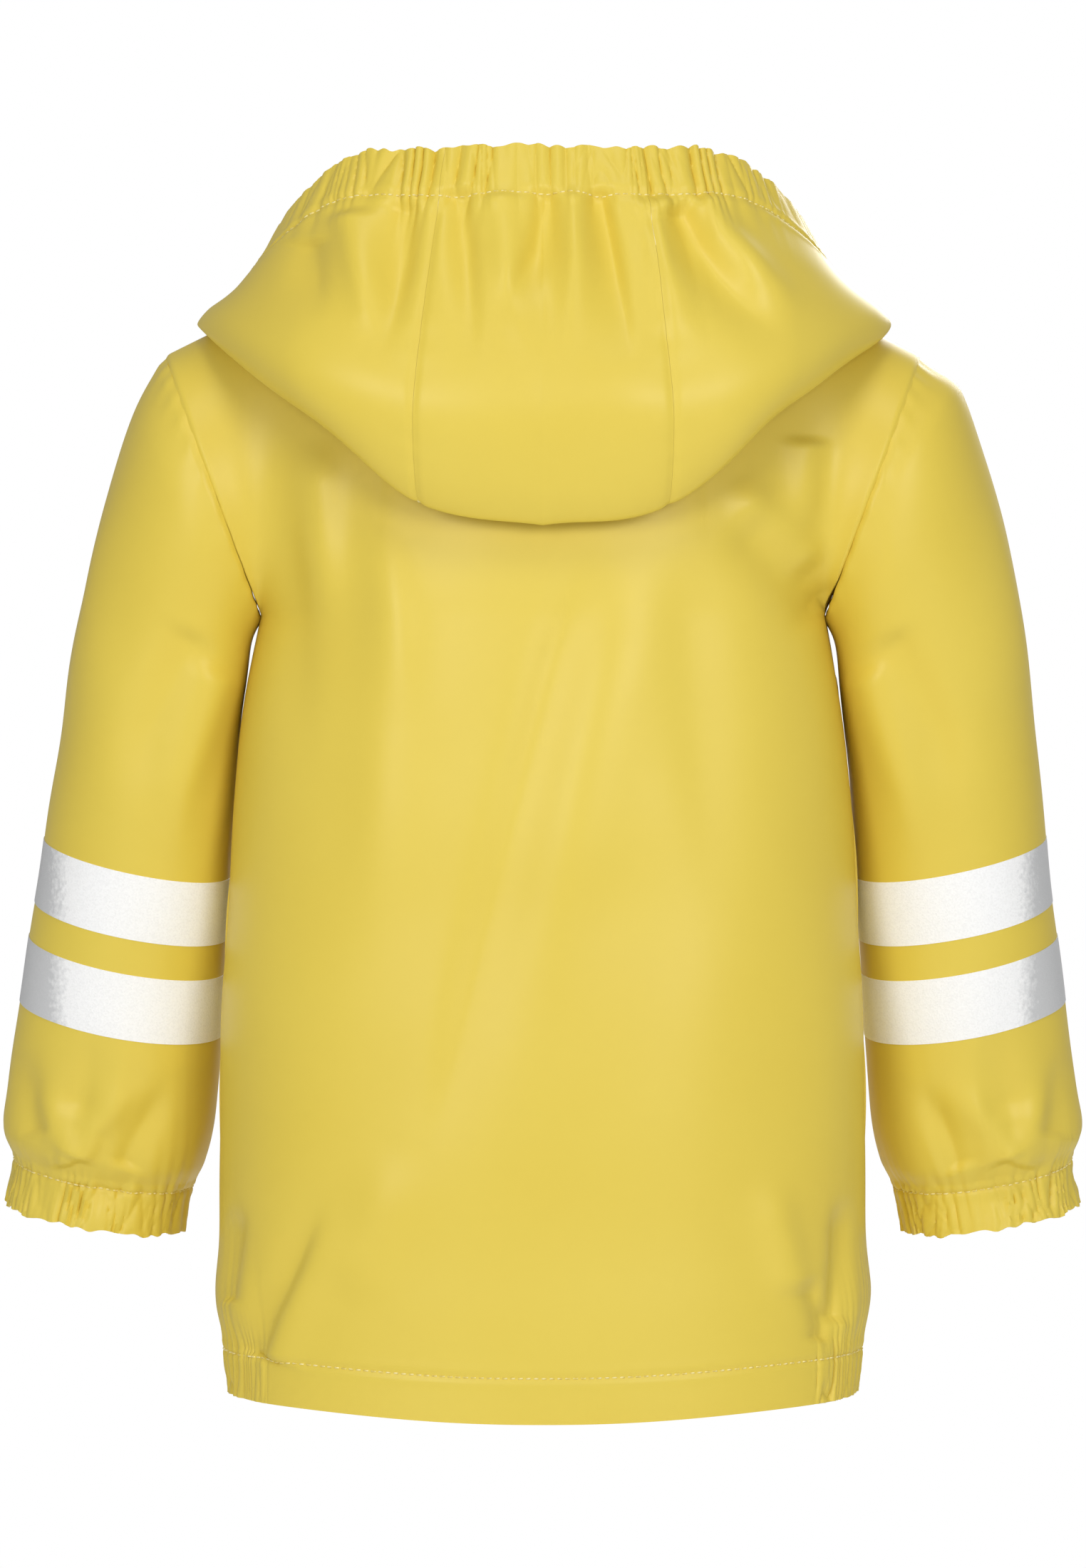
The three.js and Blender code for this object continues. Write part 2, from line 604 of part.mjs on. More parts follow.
function cap() {
  const mouth = cloth / 2 + snap.clear + 0.8 + gap;
  const roof = mouth + knob.height + 0.1;
  const under = stormFlap.overSnap - stormFlap.thick / 2 - gap;
  const over = stormFlap.overSnap + stormFlap.thick / 2 + gap;
  const disc = snap.discRadius;
  return lathe([
    [0, roof],
    [knob.radius + 0.4, roof],
    [knob.radius + 0.4, mouth],
    [disc, mouth],
    [disc, under],
    [snap.postRadius, under],
    [snap.postRadius, over],
    [snap.capRadius, over],
    [snap.capRadius - 0.4, over + 0.7],
    [snap.capRadius * 0.5, over + 1.2],
    [0, over + 1.3],
  ]);
}

// How far the rounded front panel has fallen back at x from the flat of its centre edge.
function panelSink(x, z) {
  const across = (Math.abs(x) - zipEdge) / (through(widthStations, z)[0] - zipEdge);
  const turn = Math.asin(across ** (1 / bodyRound));
  return frontDepthAt(z) * (1 - Math.cos(turn) ** bodyRound);
}

function makeStormFlap() {
  const holes = snapHeights.map((z) => standing(postHole(), snap.x, stormFlap.overSnap, z));
  const strip = sheet(stormFlapSheet, steps(0, 1, 12), steps(0, 1, 6), { thick: stormFlap.thick });
  add("storm_flap", cut(strip, ...holes), coatedCloth, zipFrame);
  snapHeights.forEach((z, i) => {
    for (const [name, make] of [["cap", cap], ["stud", stud]]) {
      const mesh = add(`storm_snap_${name}_${i + 1}`, make(), nickel, zipFrame);
      mesh.position.set(snap.x, name === "stud" ? panelSink(snap.x, z) : 0, z);
      mesh.rotation.x = Math.PI;
    }
  });
}

// ---------------------------------------------------------------- pockets

const heightShare = (z) => z / armpit.z / 2;

function makePockets() {
  const { nearSide, farSide, foot, top, bulge } = pocket;
  const flat = cloth + gap;
  const across = (share) => (share - nearSide) / (farSide - nearSide);
  const up = (share) => (share - heightShare(foot)) / (heightShare(top) - heightShare(foot));
  const puff = (u, v) => {
    const [a, b] = [clamp(across(u), 0, 1), clamp(up(v), 0, 1)];
    return flat + (bulge - flat) * Math.sin(Math.PI * a) ** 0.8 * Math.sin(quarter * (0.12 + 0.88 * b));
  };
  const reach = pocketFlap.overlap;
  const [low, high] = [heightShare(pocketFlap.top - pocketFlap.drop), heightShare(pocketFlap.top)];
  const drape = (u, v) => {
    const a = clamp((u - nearSide + reach) / (farSide - nearSide + 2 * reach), 0, 1);
    const over = flat + (bulge + 1.5 - flat) * Math.sin(Math.PI * a) ** 0.6;
    return lerp(over + flat + 0.4, flat, smoothstep((v - low) / (high - low), 0.5, 1));
  };
  const bagUs = steps(nearSide, farSide, 8);
  const flapUs = steps(nearSide - reach, farSide + reach, 8);
  for (const [side, sign] of sides) {
    const bag = onSide(lifted(frontPanel, puff), sign);
    const bagVs = steps(heightShare(foot), heightShare(top), 6);
    add(`pocket_${side}`, sheet(bag, sign > 0 ? bagUs : turned(bagUs), bagVs), coatedCloth);
    const flap = onSide(lifted(frontPanel, drape), sign);
    add(`pocket_flap_${side}`, sheet(flap, sign > 0 ? flapUs : turned(flapUs), steps(low, high, 5)), coatedCloth);
  }
}

// ---------------------------------------------------------------- assembly

makeBody();
makeSeamTapes();
makeHemElastics();
makeSleeves();
makeHood();
makeNeck();
makeZip();
makeSlider();
makeStormFlap();
makePockets();

jacket.position.set(0, -loop.y, -loop.z);

export default jacket;
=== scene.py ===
"""A child's hooded rain jacket: its cut cloth, gathers, stitching and fastenings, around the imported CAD.

Cloth is worked out in millimetres in the jacket's own layout (x to the wearer's left, y to the back, z up
from the hem) and goes into the frame in metres when a mesh is made.
"""

import math

import bpy
import numpy as np
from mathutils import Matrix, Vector


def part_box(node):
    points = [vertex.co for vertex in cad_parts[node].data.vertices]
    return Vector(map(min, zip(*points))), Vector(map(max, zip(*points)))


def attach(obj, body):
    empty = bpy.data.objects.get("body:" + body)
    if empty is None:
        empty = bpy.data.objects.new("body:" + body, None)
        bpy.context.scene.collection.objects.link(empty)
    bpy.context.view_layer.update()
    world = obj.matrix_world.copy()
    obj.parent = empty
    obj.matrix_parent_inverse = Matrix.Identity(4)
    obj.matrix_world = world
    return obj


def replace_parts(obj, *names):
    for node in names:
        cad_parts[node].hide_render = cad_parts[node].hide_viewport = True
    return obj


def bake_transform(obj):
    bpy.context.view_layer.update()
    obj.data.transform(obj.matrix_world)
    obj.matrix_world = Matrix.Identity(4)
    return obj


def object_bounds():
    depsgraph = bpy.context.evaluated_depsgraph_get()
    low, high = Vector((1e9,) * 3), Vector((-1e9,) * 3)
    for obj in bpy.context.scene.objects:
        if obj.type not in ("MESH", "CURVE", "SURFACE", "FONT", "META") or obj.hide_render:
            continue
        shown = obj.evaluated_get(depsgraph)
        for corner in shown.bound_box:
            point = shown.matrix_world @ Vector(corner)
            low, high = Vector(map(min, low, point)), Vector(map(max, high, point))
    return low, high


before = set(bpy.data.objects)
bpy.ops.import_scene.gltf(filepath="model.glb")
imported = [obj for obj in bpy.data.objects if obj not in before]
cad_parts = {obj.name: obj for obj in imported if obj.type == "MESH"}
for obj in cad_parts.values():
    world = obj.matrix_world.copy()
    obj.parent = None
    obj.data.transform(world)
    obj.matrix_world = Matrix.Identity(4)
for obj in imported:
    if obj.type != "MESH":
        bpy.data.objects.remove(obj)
cad_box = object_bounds()

# ------------------------------------------------------------------ sizes, in millimetres

THICK = 1.0
BODY_ROUND = 0.87
HEM_SIDE_LIFT = 7.0
ARMPIT_Z = 350.0
ARMHOLE_DEPTH = 42.0
WIDTHS = [(0, 139), (150, 140), (290, 131.5), (350, 122.5)]
BACK_DEPTHS = [(0, 84), (150, 87), (290, 84), (350, 80)]
HEM_FRONT, NECK_FRONT, NECK_FRONT_Z = 90.0, 58.0, 455.0
FRONT_LEAN = (HEM_FRONT - NECK_FRONT) / NECK_FRONT_Z
NECK_WIDE, NECK_SIDE_Z, NECK_BACK_Z, NECK_BACK = 62.0, 510.0, 494.0, 48.0
NECK_SHARE = 0.36
TIP_X, TIP_Z = 165.0, 463.0
ZIP_EDGE = 6.5
SEAM_GAP = 0.06
BAND = 20.0  # height of the elasticated hems
STITCH = 3.4  # from one stitch to the next

loop_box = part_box("hanger_loop")
back_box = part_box("back_panel")
ORIGIN = np.array([0.0, 42.0 - 500 * (loop_box[0][1] + loop_box[1][1]), -1000 * back_box[0][2]])

SLEEVE_RINGS = np.array(
    [
        [0, TIP_X, TIP_Z, 122.5, ARMPIT_Z, ARMHOLE_DEPTH, 0, 0],
        [1, 179, 437, 128.0, 338, 43, -2, 0],
        [2, 192, 395, 130.4, 319, 43, -8, 2],
        [3, 203, 346, 133.0, 293, 42, -14, 5],
        [4, 211, 298, 135.0, 266, 41, -20, 8],
        [5, 217, 258, 136.8, 241, 40, -26, 11],
        [6, 222, 226, 138.9, 210, 40, -32, 13],
        [7, 228, 185, 141.0, 170, 39, -40, 14],
        [8, 233, 147, 144.0, 133, 38, -48, 14],
        [9, 234.5, 127, 150, 114, 36, -53, 13],
        [10, 231.5, 112.5, 155, 101, 33, -57, 12],
        [11, 235.5, 94, 158, 82.5, 35, -60, 11],
    ],
    float,
)
SLEEVE_START, CUFF_LINE, SLEEVE_END = 0.012, 10, 11  # ring numbers: the cuff's stitches are at its ring 10
CUFF_RING = 18.0  # millimetres of sleeve from ring 10 to ring 11

HOOD_SEAM = 0.27  # where the centre panel meets a side panel, as a share of half the hood's width
HOOD_CASING = 210.0  # millimetres of cloth that the hood's v runs through at its elasticated opening
HOOD_HEM = 1 - BAND / HOOD_CASING
HOOD_AT = [0, HOOD_SEAM, 0.5, 0.72, 0.87, 1]  # shares of the half width, from the middle to the throat
# Lines across the hood from its neck seam over the fold to the opening, each with its points at HOOD_AT.
HOOD_LINES = [
    (0, [(0, 50.5, 498), (26, 47, 500.5), (51, 32, 508), (64, 3, 515), (51, -40, 495), (10, -62, 460)]),
    (0.07, [(0, 61, 491), (29, 57, 494), (58, 40, 506), (75, 4, 514), (58, -47, 493), (12, -65, 461)]),
    (0.22, [(0, 83, 440), (48, 81, 445), (92, 69, 470), (112, 8, 497), (78, -56, 484), (15, -68, 459)]),
    (0.44, [(0, 94, 389), (54, 91, 398), (101, 78, 438), (148, 6, 477), (105, -61, 462), (19, -75, 447)]),
    (0.66, [(0, 113, 443), (56, 109, 445), (111, 86, 464), (146, 13, 484), (106, -62, 469), (19, -77, 455)]),
    (HOOD_HEM, [(0, 88, 534), (45, 85, 533), (92, 62, 530), (127, 14, 497), (99, -50, 486), (15, -73, 467)]),
    (1, [(0, 81, 555), (42, 78, 554), (86, 55, 549), (118, 12, 511), (92, -43, 498), (12, -69, 477)]),
]


# ------------------------------------------------------------------ sums on arrays of points


def lerp(a, b, t):
    return a + (b - a) * t


def smooth(x, low, high):
    t = np.clip((x - low) / (high - low), 0, 1)
    return t * t * (3 - 2 * t)


def through(stations, at):
    """A smooth curve through rows [at, value, ...]: an array of the values at each place asked for."""
    table = np.asarray(stations, float)
    x, y = table[:, 0], table[:, 1:]
    slope = np.empty_like(y)
    slope[1:-1] = (y[2:] - y[:-2]) / (x[2:] - x[:-2])[:, None]
    slope[0] = (y[1] - y[0]) / (x[1] - x[0])
    slope[-1] = (y[-1] - y[-2]) / (x[-1] - x[-2])
    i = np.clip(np.searchsorted(x, at, side="right") - 1, 0, len(x) - 2)
    span = (x[i + 1] - x[i])[..., None]
    t = np.clip((np.asarray(at) - x[i]) / (x[i + 1] - x[i]), 0, 1)[..., None]
    return (
        (2 * t**3 - 3 * t**2 + 1) * y[i]
        + (t**3 - 2 * t**2 + t) * span * slope[i]
        + (3 * t**2 - 2 * t**3) * y[i + 1]
        + (t**3 - t**2) * span * slope[i + 1]
    )


def unit(v):
    return v / np.maximum(np.linalg.norm(v, axis=-1, keepdims=True), 1e-9)


def points(x, y, z):
    return np.stack(np.broadcast_arrays(x, y, z), axis=-1).astype(float)


def grid_normals(p, closed):
    """Unit normals of a grid of points, rows along v and columns along u."""
    if closed:
        wide = np.concatenate([p[:, -2:-1], p, p[:, 1:2]], axis=1)
        du = wide[:, 2:] - wide[:, :-2]
    else:
        du = np.gradient(p, axis=1)
    dv = np.gradient(p, axis=0)
    return unit(np.cross(du, dv))


def waves(p, seed, lengths, count=4):
    """Slow swells over a surface, about -1 to 1: seeded sine waves of the given lengths in millimetres."""
    rng = np.random.default_rng(seed)
    total = np.zeros(p.shape[:-1])
    for length in lengths:
        for _ in range(count):
            direction = unit(rng.normal(size=3)) * (2 * math.pi / length)
            total += np.sin(p @ direction + rng.uniform(0, 2 * math.pi))
    return total / (len(lengths) * count) ** 0.5


# ------------------------------------------------------------------ the surfaces that the cloth lies on


def body_below(face, s, h):
    edge = 0.0 if face > 0 else ZIP_EDGE
    z = lerp(HEM_SIDE_LIFT * s * s, ARMPIT_Z, h)
    half_width = through(WIDTHS, z)[..., 0]
    depth = through(BACK_DEPTHS, z)[..., 0] if face > 0 else HEM_FRONT - FRONT_LEAN * z
    turn = s * math.pi / 2
    x = edge + (half_width - edge) * np.sin(turn) ** BODY_ROUND
    y = SEAM_GAP / 2 + (depth - SEAM_GAP / 2) * np.maximum(np.cos(turn), 0) ** BODY_ROUND
    return points(x, face * y, z)


def top_edge(face, s):
    edge = 0.0 if face > 0 else ZIP_EDGE
    depth, low = (NECK_BACK, NECK_BACK_Z) if face > 0 else (NECK_FRONT, NECK_FRONT_Z)
    turn = np.minimum(s / NECK_SHARE, 1) * math.pi / 2
    x = lerp(edge, NECK_WIDE, np.sin(turn))
    y = lerp(SEAM_GAP / 2, depth, np.cos(turn))
    neckline = points(x, face * y, lerp(low, NECK_SIDE_Z, np.sin(turn) ** 2))
    q = np.clip((s - NECK_SHARE) / (1 - NECK_SHARE), 0, 1)
    shoulder = points(lerp(NECK_WIDE, TIP_X, q), face * SEAM_GAP / 2, lerp(NECK_SIDE_Z, TIP_Z, q**1.1))
    return np.where((s <= NECK_SHARE)[..., None], neckline, shoulder)


def body(face, s, h):
    """A point of the left half of the back (face 1) or front (face -1).

    s goes from the centre to the side seam and armhole, and h from 0 at the hem to 1 at the armpit and 2 at
    the neckline and shoulder seam.
    """
    s, h = np.broadcast_arrays(np.asarray(s, float), np.asarray(h, float))
    below = body_below(face, s, np.clip(h, 0, 1))
    t = np.clip(h - 1, 0, 1)
    foot, head = body_below(face, s, np.ones_like(s)), top_edge(face, s)
    swell = s**4
    across = (1 - np.cos(math.pi * t)) / 2
    rise = lerp(np.sin(t * math.pi / 2), across, swell)
    straight = 0.0 if face > 0 else 1 - smooth(s, 0, NECK_SHARE)
    fall = lerp(np.cos(t * math.pi / 2), 1 - rise, straight)
    x = lerp(foot[..., 0], head[..., 0], across)
    y = lerp(head[..., 1], foot[..., 1], fall) + face * ARMHOLE_DEPTH * swell * np.sin(math.pi * t)
    above = points(x, y, lerp(foot[..., 2], head[..., 2], rise))
    return np.where((h <= 1)[..., None], below, above)


def back_surface(u, v):
    s = 1 - 2 * u
    p = body(1, np.abs(s), 2 * v)
    p[..., 0] *= np.where(s < 0, -1, 1)
    return p


def front_surface(u, v):
    return body(-1, u, 2 * v)


def sleeve_surface(u, v):
    ring = through(SLEEVE_RINGS, lerp(SLEEVE_START, SLEEVE_END, np.asarray(v, float)))
    ox, oz, ix, iz, half_depth, y, lean = (ring[..., k] for k in range(7))
    turn = u * 2 * math.pi
    c, s = np.cos(turn), -np.sin(turn)
    tip = np.radians(lean)
    x = (ox + ix) / 2 + (ox - ix) / 2 * c
    z = (oz + iz) / 2 + (oz - iz) / 2 * c - half_depth * s * np.sin(tip)
    return points(x, y + half_depth * s * np.cos(tip), z)


def hood_surface(u, v):
    u, v = np.broadcast_arrays(np.asarray(u, float), np.asarray(v, float))
    s = 1 - 2 * u
    lines = [through([(at, *p) for at, p in zip(HOOD_AT, line)], np.abs(s)) for _, line in HOOD_LINES]
    rows = np.stack(lines, axis=-2)
    at = np.array([share for share, _ in HOOD_LINES])
    slope = np.empty_like(rows)
    slope[..., 1:-1, :] = (rows[..., 2:, :] - rows[..., :-2, :]) / (at[2:] - at[:-2])[:, None]
    slope[..., 0, :] = (rows[..., 1, :] - rows[..., 0, :]) / (at[1] - at[0])
    slope[..., -1, :] = (rows[..., -1, :] - rows[..., -2, :]) / (at[-1] - at[-2])
    i = np.clip(np.searchsorted(at, v, side="right") - 1, 0, len(at) - 2)
    t = np.clip((v - at[i]) / (at[i + 1] - at[i]), 0, 1)[..., None]
    span = (at[i + 1] - at[i])[..., None]

    def pick(table, k):
        return np.take_along_axis(table, k[..., None, None], axis=-2)[..., 0, :]

    p = (
        (2 * t**3 - 3 * t**2 + 1) * pick(rows, i)
        + (t**3 - 2 * t**2 + t) * span * pick(slope, i)
        + (3 * t**2 - 2 * t**3) * pick(rows, i + 1)
        + (t**3 - t**2) * span * pick(slope, i + 1)
    )
    p[..., 0] *= np.where(s < 0, -1, 1)
    return p


def other_side(surface):
    """The same surface on the wearer's other side."""
    return lambda u, v: surface(1 - np.asarray(u, float), v) * np.array([-1.0, 1.0, 1.0])


# ------------------------------------------------------------------ cloth as a grid of points


class Cloth:
    """A grid of points on a surface, with what gathers and folds it. Trims and stitches are placed on it."""

    def __init__(self, surface, us, vs, shape=None, closed=False):
        self.us, self.vs, self.closed = np.asarray(us, float), np.asarray(vs, float), closed
        u, v = np.meshgrid(self.us, self.vs)
        flat = surface(u, v)
        self.p = flat if shape is None else shape(flat, grid_normals(flat, closed), u, v)
        self.n = grid_normals(self.p, closed)

    def at(self, u, v, lift=0.0):
        """The points at u and v, lifted off the cloth, and the cloth's normals there."""
        u, v = np.broadcast_arrays(np.asarray(u, float), np.asarray(v, float))
        i = np.clip(np.searchsorted(self.us, u, side="right") - 1, 0, len(self.us) - 2)
        j = np.clip(np.searchsorted(self.vs, v, side="right") - 1, 0, len(self.vs) - 2)
        a = np.clip((u - self.us[i]) / (self.us[i + 1] - self.us[i]), 0, 1)[..., None]
        b = np.clip((v - self.vs[j]) / (self.vs[j + 1] - self.vs[j]), 0, 1)[..., None]

        def blend(t):
            return lerp(lerp(t[j, i], t[j, i + 1], a), lerp(t[j + 1, i], t[j + 1, i + 1], a), b)

        normal = unit(blend(self.n))
        return blend(self.p) + normal * np.asarray(lift)[..., None], normal


def new_object(name, verts, quads, materials, which=None, sharp=65):
    mesh = bpy.data.meshes.new(name)
    mesh.vertices.add(len(verts))
    mesh.vertices.foreach_set("co", ((verts - ORIGIN) * 0.001).astype(np.float32).ravel())
    mesh.loops.add(quads.size)
    mesh.polygons.add(len(quads))
    mesh.polygons.foreach_set("loop_start", np.arange(0, quads.size, 4, dtype=np.int32))
    mesh.loops.foreach_set("vertex_index", quads.astype(np.int32).ravel())
    for material in materials:
        mesh.materials.append(material)
    if which is not None:
        mesh.polygons.foreach_set("material_index", which.astype(np.int32))
    mesh.update(calc_edges=True)
    mesh.polygons.foreach_set("use_smooth", np.ones(len(quads), bool))
    mesh.set_sharp_from_angle(angle=math.radians(sharp))
    made = bpy.data.objects.new(name, mesh)
    bpy.context.scene.collection.objects.link(made)
    return made


def shell(name, p, n, materials, thick=THICK, off=0.0, closed=False):
    """A closed sheet: an outer and an inner grid and the turned edge between them."""
    if closed:
        p, n = p[:, :-1], n[:, :-1]
    rows, cols = p.shape[:2]
    outer = p + n * (off + thick / 2)
    inner = p + n * (off - thick / 2)
    verts = np.concatenate([outer.reshape(-1, 3), inner.reshape(-1, 3)])
    ids = np.arange(rows * cols).reshape(rows, cols)
    right = np.roll(ids, -1, axis=1) if closed else ids[:, 1:]
    left = ids if closed else ids[:, :-1]
    a, b, c, d = left[:-1], right[:-1], right[1:], left[1:]
    face = np.stack([a, b, c, d], axis=-1).reshape(-1, 4)
    k = rows * cols
    quads = [face, face[:, ::-1] + k]

    def rim(line):
        first, second = line
        quads.append(np.stack([second, first, first + k, second + k], axis=-1))

    rim((left[0], right[0]))
    rim((right[-1], left[-1]))
    if not closed:
        rim((ids[1:, 0], ids[:-1, 0]))
        rim((ids[:-1, -1], ids[1:, -1]))
    which = np.concatenate([np.full(len(q), 1 if i == 1 else 0) for i, q in enumerate(quads)])
    which = np.minimum(which, len(materials) - 1)
    return new_object(name, verts, np.concatenate(quads), materials, which)


def strip_on(name, cloth, us, vs, materials, thick, off, closed=False):
    """A band or tape that lies on a cloth, or under it where off is negative."""
    u, v = np.meshgrid(us, vs)
    p, n = cloth.at(u, v)
    return shell(name, p, n, materials, thick=thick, off=off, closed=closed)


def along_run(values, arc, at):
    return np.stack([np.interp(at, arc, values[:, k]) for k in range(3)], axis=-1)


def stitches(name, runs, material, length=2.5, radius=0.36):
    """Sewing thread: one small capsule for each stitch, along runs of (points, normals)."""
    # Each ring of a capsule: its place along the stitch, its share of the radius, and its lift off the cloth.
    rings = np.array([[-0.5, 0.35, -0.32], [-0.34, 1.0, 0.12], [0.34, 1.0, 0.12], [0.5, 0.35, -0.32]])
    turn = np.arange(6) * math.pi / 3
    verts, quads, start = [], [], 0
    for p, n in runs:
        step = np.linalg.norm(np.diff(p, axis=0), axis=1)
        arc = np.concatenate([[0], np.cumsum(step)])
        middle = np.arange(STITCH / 2, arc[-1], STITCH)
        centre = along_run(p, arc, middle)
        along = unit(along_run(p, arc, middle + 0.8) - along_run(p, arc, middle - 0.8))
        normal = unit(along_run(n, arc, middle))
        side = unit(np.cross(along, normal))
        normal = np.cross(side, along)
        across, up = np.cos(turn)[None, None, :, None], np.sin(turn)[None, None, :, None]
        ring = (
            centre[:, None, None]
            + along[:, None, None] * (rings[:, 0] * length)[None, :, None, None]
            + normal[:, None, None] * (rings[:, 2])[None, :, None, None]
            + (side[:, None, None] * across + normal[:, None, None] * up)
            * (rings[:, 1] * radius)[None, :, None, None]
        )
        count = len(centre)
        verts.append(ring.reshape(-1, 3))
        base = start + np.arange(count)[:, None, None] * 24
        r = np.arange(3)[None, :, None] * 6
        i = np.arange(6)[None, None, :]
        nxt = (i + 1) % 6
        sides = np.stack([base + r + i, base + r + nxt, base + r + 6 + nxt, base + r + 6 + i], axis=-1)
        quads.append(sides.reshape(-1, 4)[:, ::-1])
        first = start + np.arange(count)[:, None] * 24
        for end, turned in ((0, False), (18, True)):
            for cap in ([0, 1, 2, 3], [0, 3, 4, 5]):
                q = first + np.array(cap)[None, :] + end
                quads.append(q[:, ::-1] if turned else q)
        start += count * 24
    return new_object(name, np.concatenate(verts), np.concatenate(quads), [material], sharp=80)


# ------------------------------------------------------------------ folds and gathers

FOLD = 1.9  # how deep the folds are, against the depths given for them


def fold(p, path, rise, wide, ends, facing=None):
    """A fold along a path of (x, z): a ridge where rise is above 0 and a valley where it is below.

    wide is its width on its right and on its left, looking along the path, so that one flank can be steeper.
    ends are the shares of its length over which it fades in and out. facing is how squarely the cloth faces
    the side that the fold is on, so that it doesn't show on the other.
    """
    path = np.asarray(path, float)
    x, z = p[..., 0], p[..., 2]
    span = np.linalg.norm(np.diff(path, axis=0), axis=1)
    whole = span.sum()
    best = np.full(x.shape, 1e9)
    signed, along, done = np.zeros(x.shape), np.zeros(x.shape), 0.0
    for (a, b), length in zip(zip(path[:-1], path[1:]), span):
        d = (b - a) / length
        t = np.clip((x - a[0]) * d[0] + (z - a[1]) * d[1], 0, length)
        ex, ez = x - a[0] - d[0] * t, z - a[1] - d[1] * t
        far = np.hypot(ex, ez)
        nearer = far < best
        best = np.where(nearer, far, best)
        signed = np.where(nearer, ex * d[1] - ez * d[0], signed)
        along = np.where(nearer, (done + t) / whole, along)
        done += length
    width = np.where(signed > 0, wide[0], wide[1])
    fade = smooth(along, 0, ends[0]) * (1 - smooth(along, 1 - ends[1], 1))
    mask = 1.0 if facing is None else smooth(facing, 0.05, 0.4)
    return FOLD * rise * np.exp(-((best / width) ** 2)) * fade * mask


DEEPEST = 1.9  # millimetres that a pleat stands out or sinks in at most


def gathers(arc, away, seed, modes, slant=0.3):
    """How far cloth stands out where elastic gathers it: rounded puffs with creases between them.

    arc is the distance along the stitch line. away is the distance from it into the loose cloth, and is below
    0 in the casing, where the creases are sharp from edge to edge. Each of modes is a pleat's width, its rise
    and how far it reaches into the loose cloth.
    """
    rng = np.random.default_rng(seed)
    loose = np.maximum(away, 0)
    crisp = np.exp(-((loose / 7) ** 2))
    total = np.zeros(np.broadcast(arc, away).shape)
    for length, rise, reach in modes:
        wander = sum(
            rng.uniform(0.4, 0.8) * length * np.sin(arc * 2 * math.pi / (length * k) + rng.uniform(0, 6.3))
            for k in (3.1, 5.3, 9.7)
        )
        lean = slant * away * np.sin(arc / (length * 2.1) + rng.uniform(0, 6.3))
        bend = 0.012 * away * np.abs(away) * np.sin(arc / (length * 3.3) + rng.uniform(0, 6.3))
        lean = lean + bend * (away < 0)
        strength = 0.6 + 0.4 * np.sin(arc / (length * 1.7) + rng.uniform(0, 6.3))
        phase = (arc + wander + lean) * math.pi / length
        sharp, soft = np.abs(np.sin(phase)) ** 0.75 - 0.64, -0.36 * np.cos(2 * phase)
        total = total + rise * strength * lerp(soft, sharp, crisp) * np.exp(-((loose / reach) ** 1.2))
    return DEEPEST * np.tanh(total / DEEPEST)


def ragged_edge(arc):
    """The turned edge of a gathered casing rises and falls a little with its pleats."""
    return 0.55 * np.sin(arc / 1.7 + 1.3 * np.sin(arc / 6)) + 0.5 * np.sin(arc / 4.3) + 0.4 * np.sin(arc / 13)


def sewn_line(distance, depth=0.6):
    """A line of stitches pulls the cloth into a shallow groove with a soft ridge each side of it."""
    groove = -depth * np.exp(-((distance / 1.1) ** 2))
    return groove + 0.25 * depth * np.exp(-(((np.abs(distance) - 3) / 1.6) ** 2))


def seam_dip(distance, depth=0.7, wide=1.6):
    """Cloth rolls in where it meets a seam."""
    return -depth * np.exp(-((distance / wide) ** 2))


# ------------------------------------------------------------------ materials


def srgb(code):
    """A hex colour as the linear colour that a shader takes."""
    value = [int(code[i : i + 2], 16) / 255 for i in (1, 3, 5)]
    return (*(c / 12.92 if c <= 0.04045 else ((c + 0.055) / 1.055) ** 2.4 for c in value), 1.0)


def node(tree, kind, inputs=None, **settings):
    """Adds a node. inputs are values or sockets to link, by the input's name or number."""
    made = tree.nodes.new(kind)
    for key, value in settings.items():
        setattr(made, key, value)
    for key, value in (inputs or {}).items():
        if isinstance(value, bpy.types.NodeSocket):
            tree.links.new(value, made.inputs[key])
        else:
            made.inputs[key].default_value = value
    return made


def new_material(name, **sockets):
    material = bpy.data.materials.new(name)
    material.use_nodes = True
    tree = material.node_tree
    shader = tree.nodes["Principled BSDF"]
    for key, value in sockets.items():
        shader.inputs[key.replace("_", " ")].default_value = value
    place = node(tree, "ShaderNodeTexCoord").outputs["Object"]
    return material, tree, shader, place


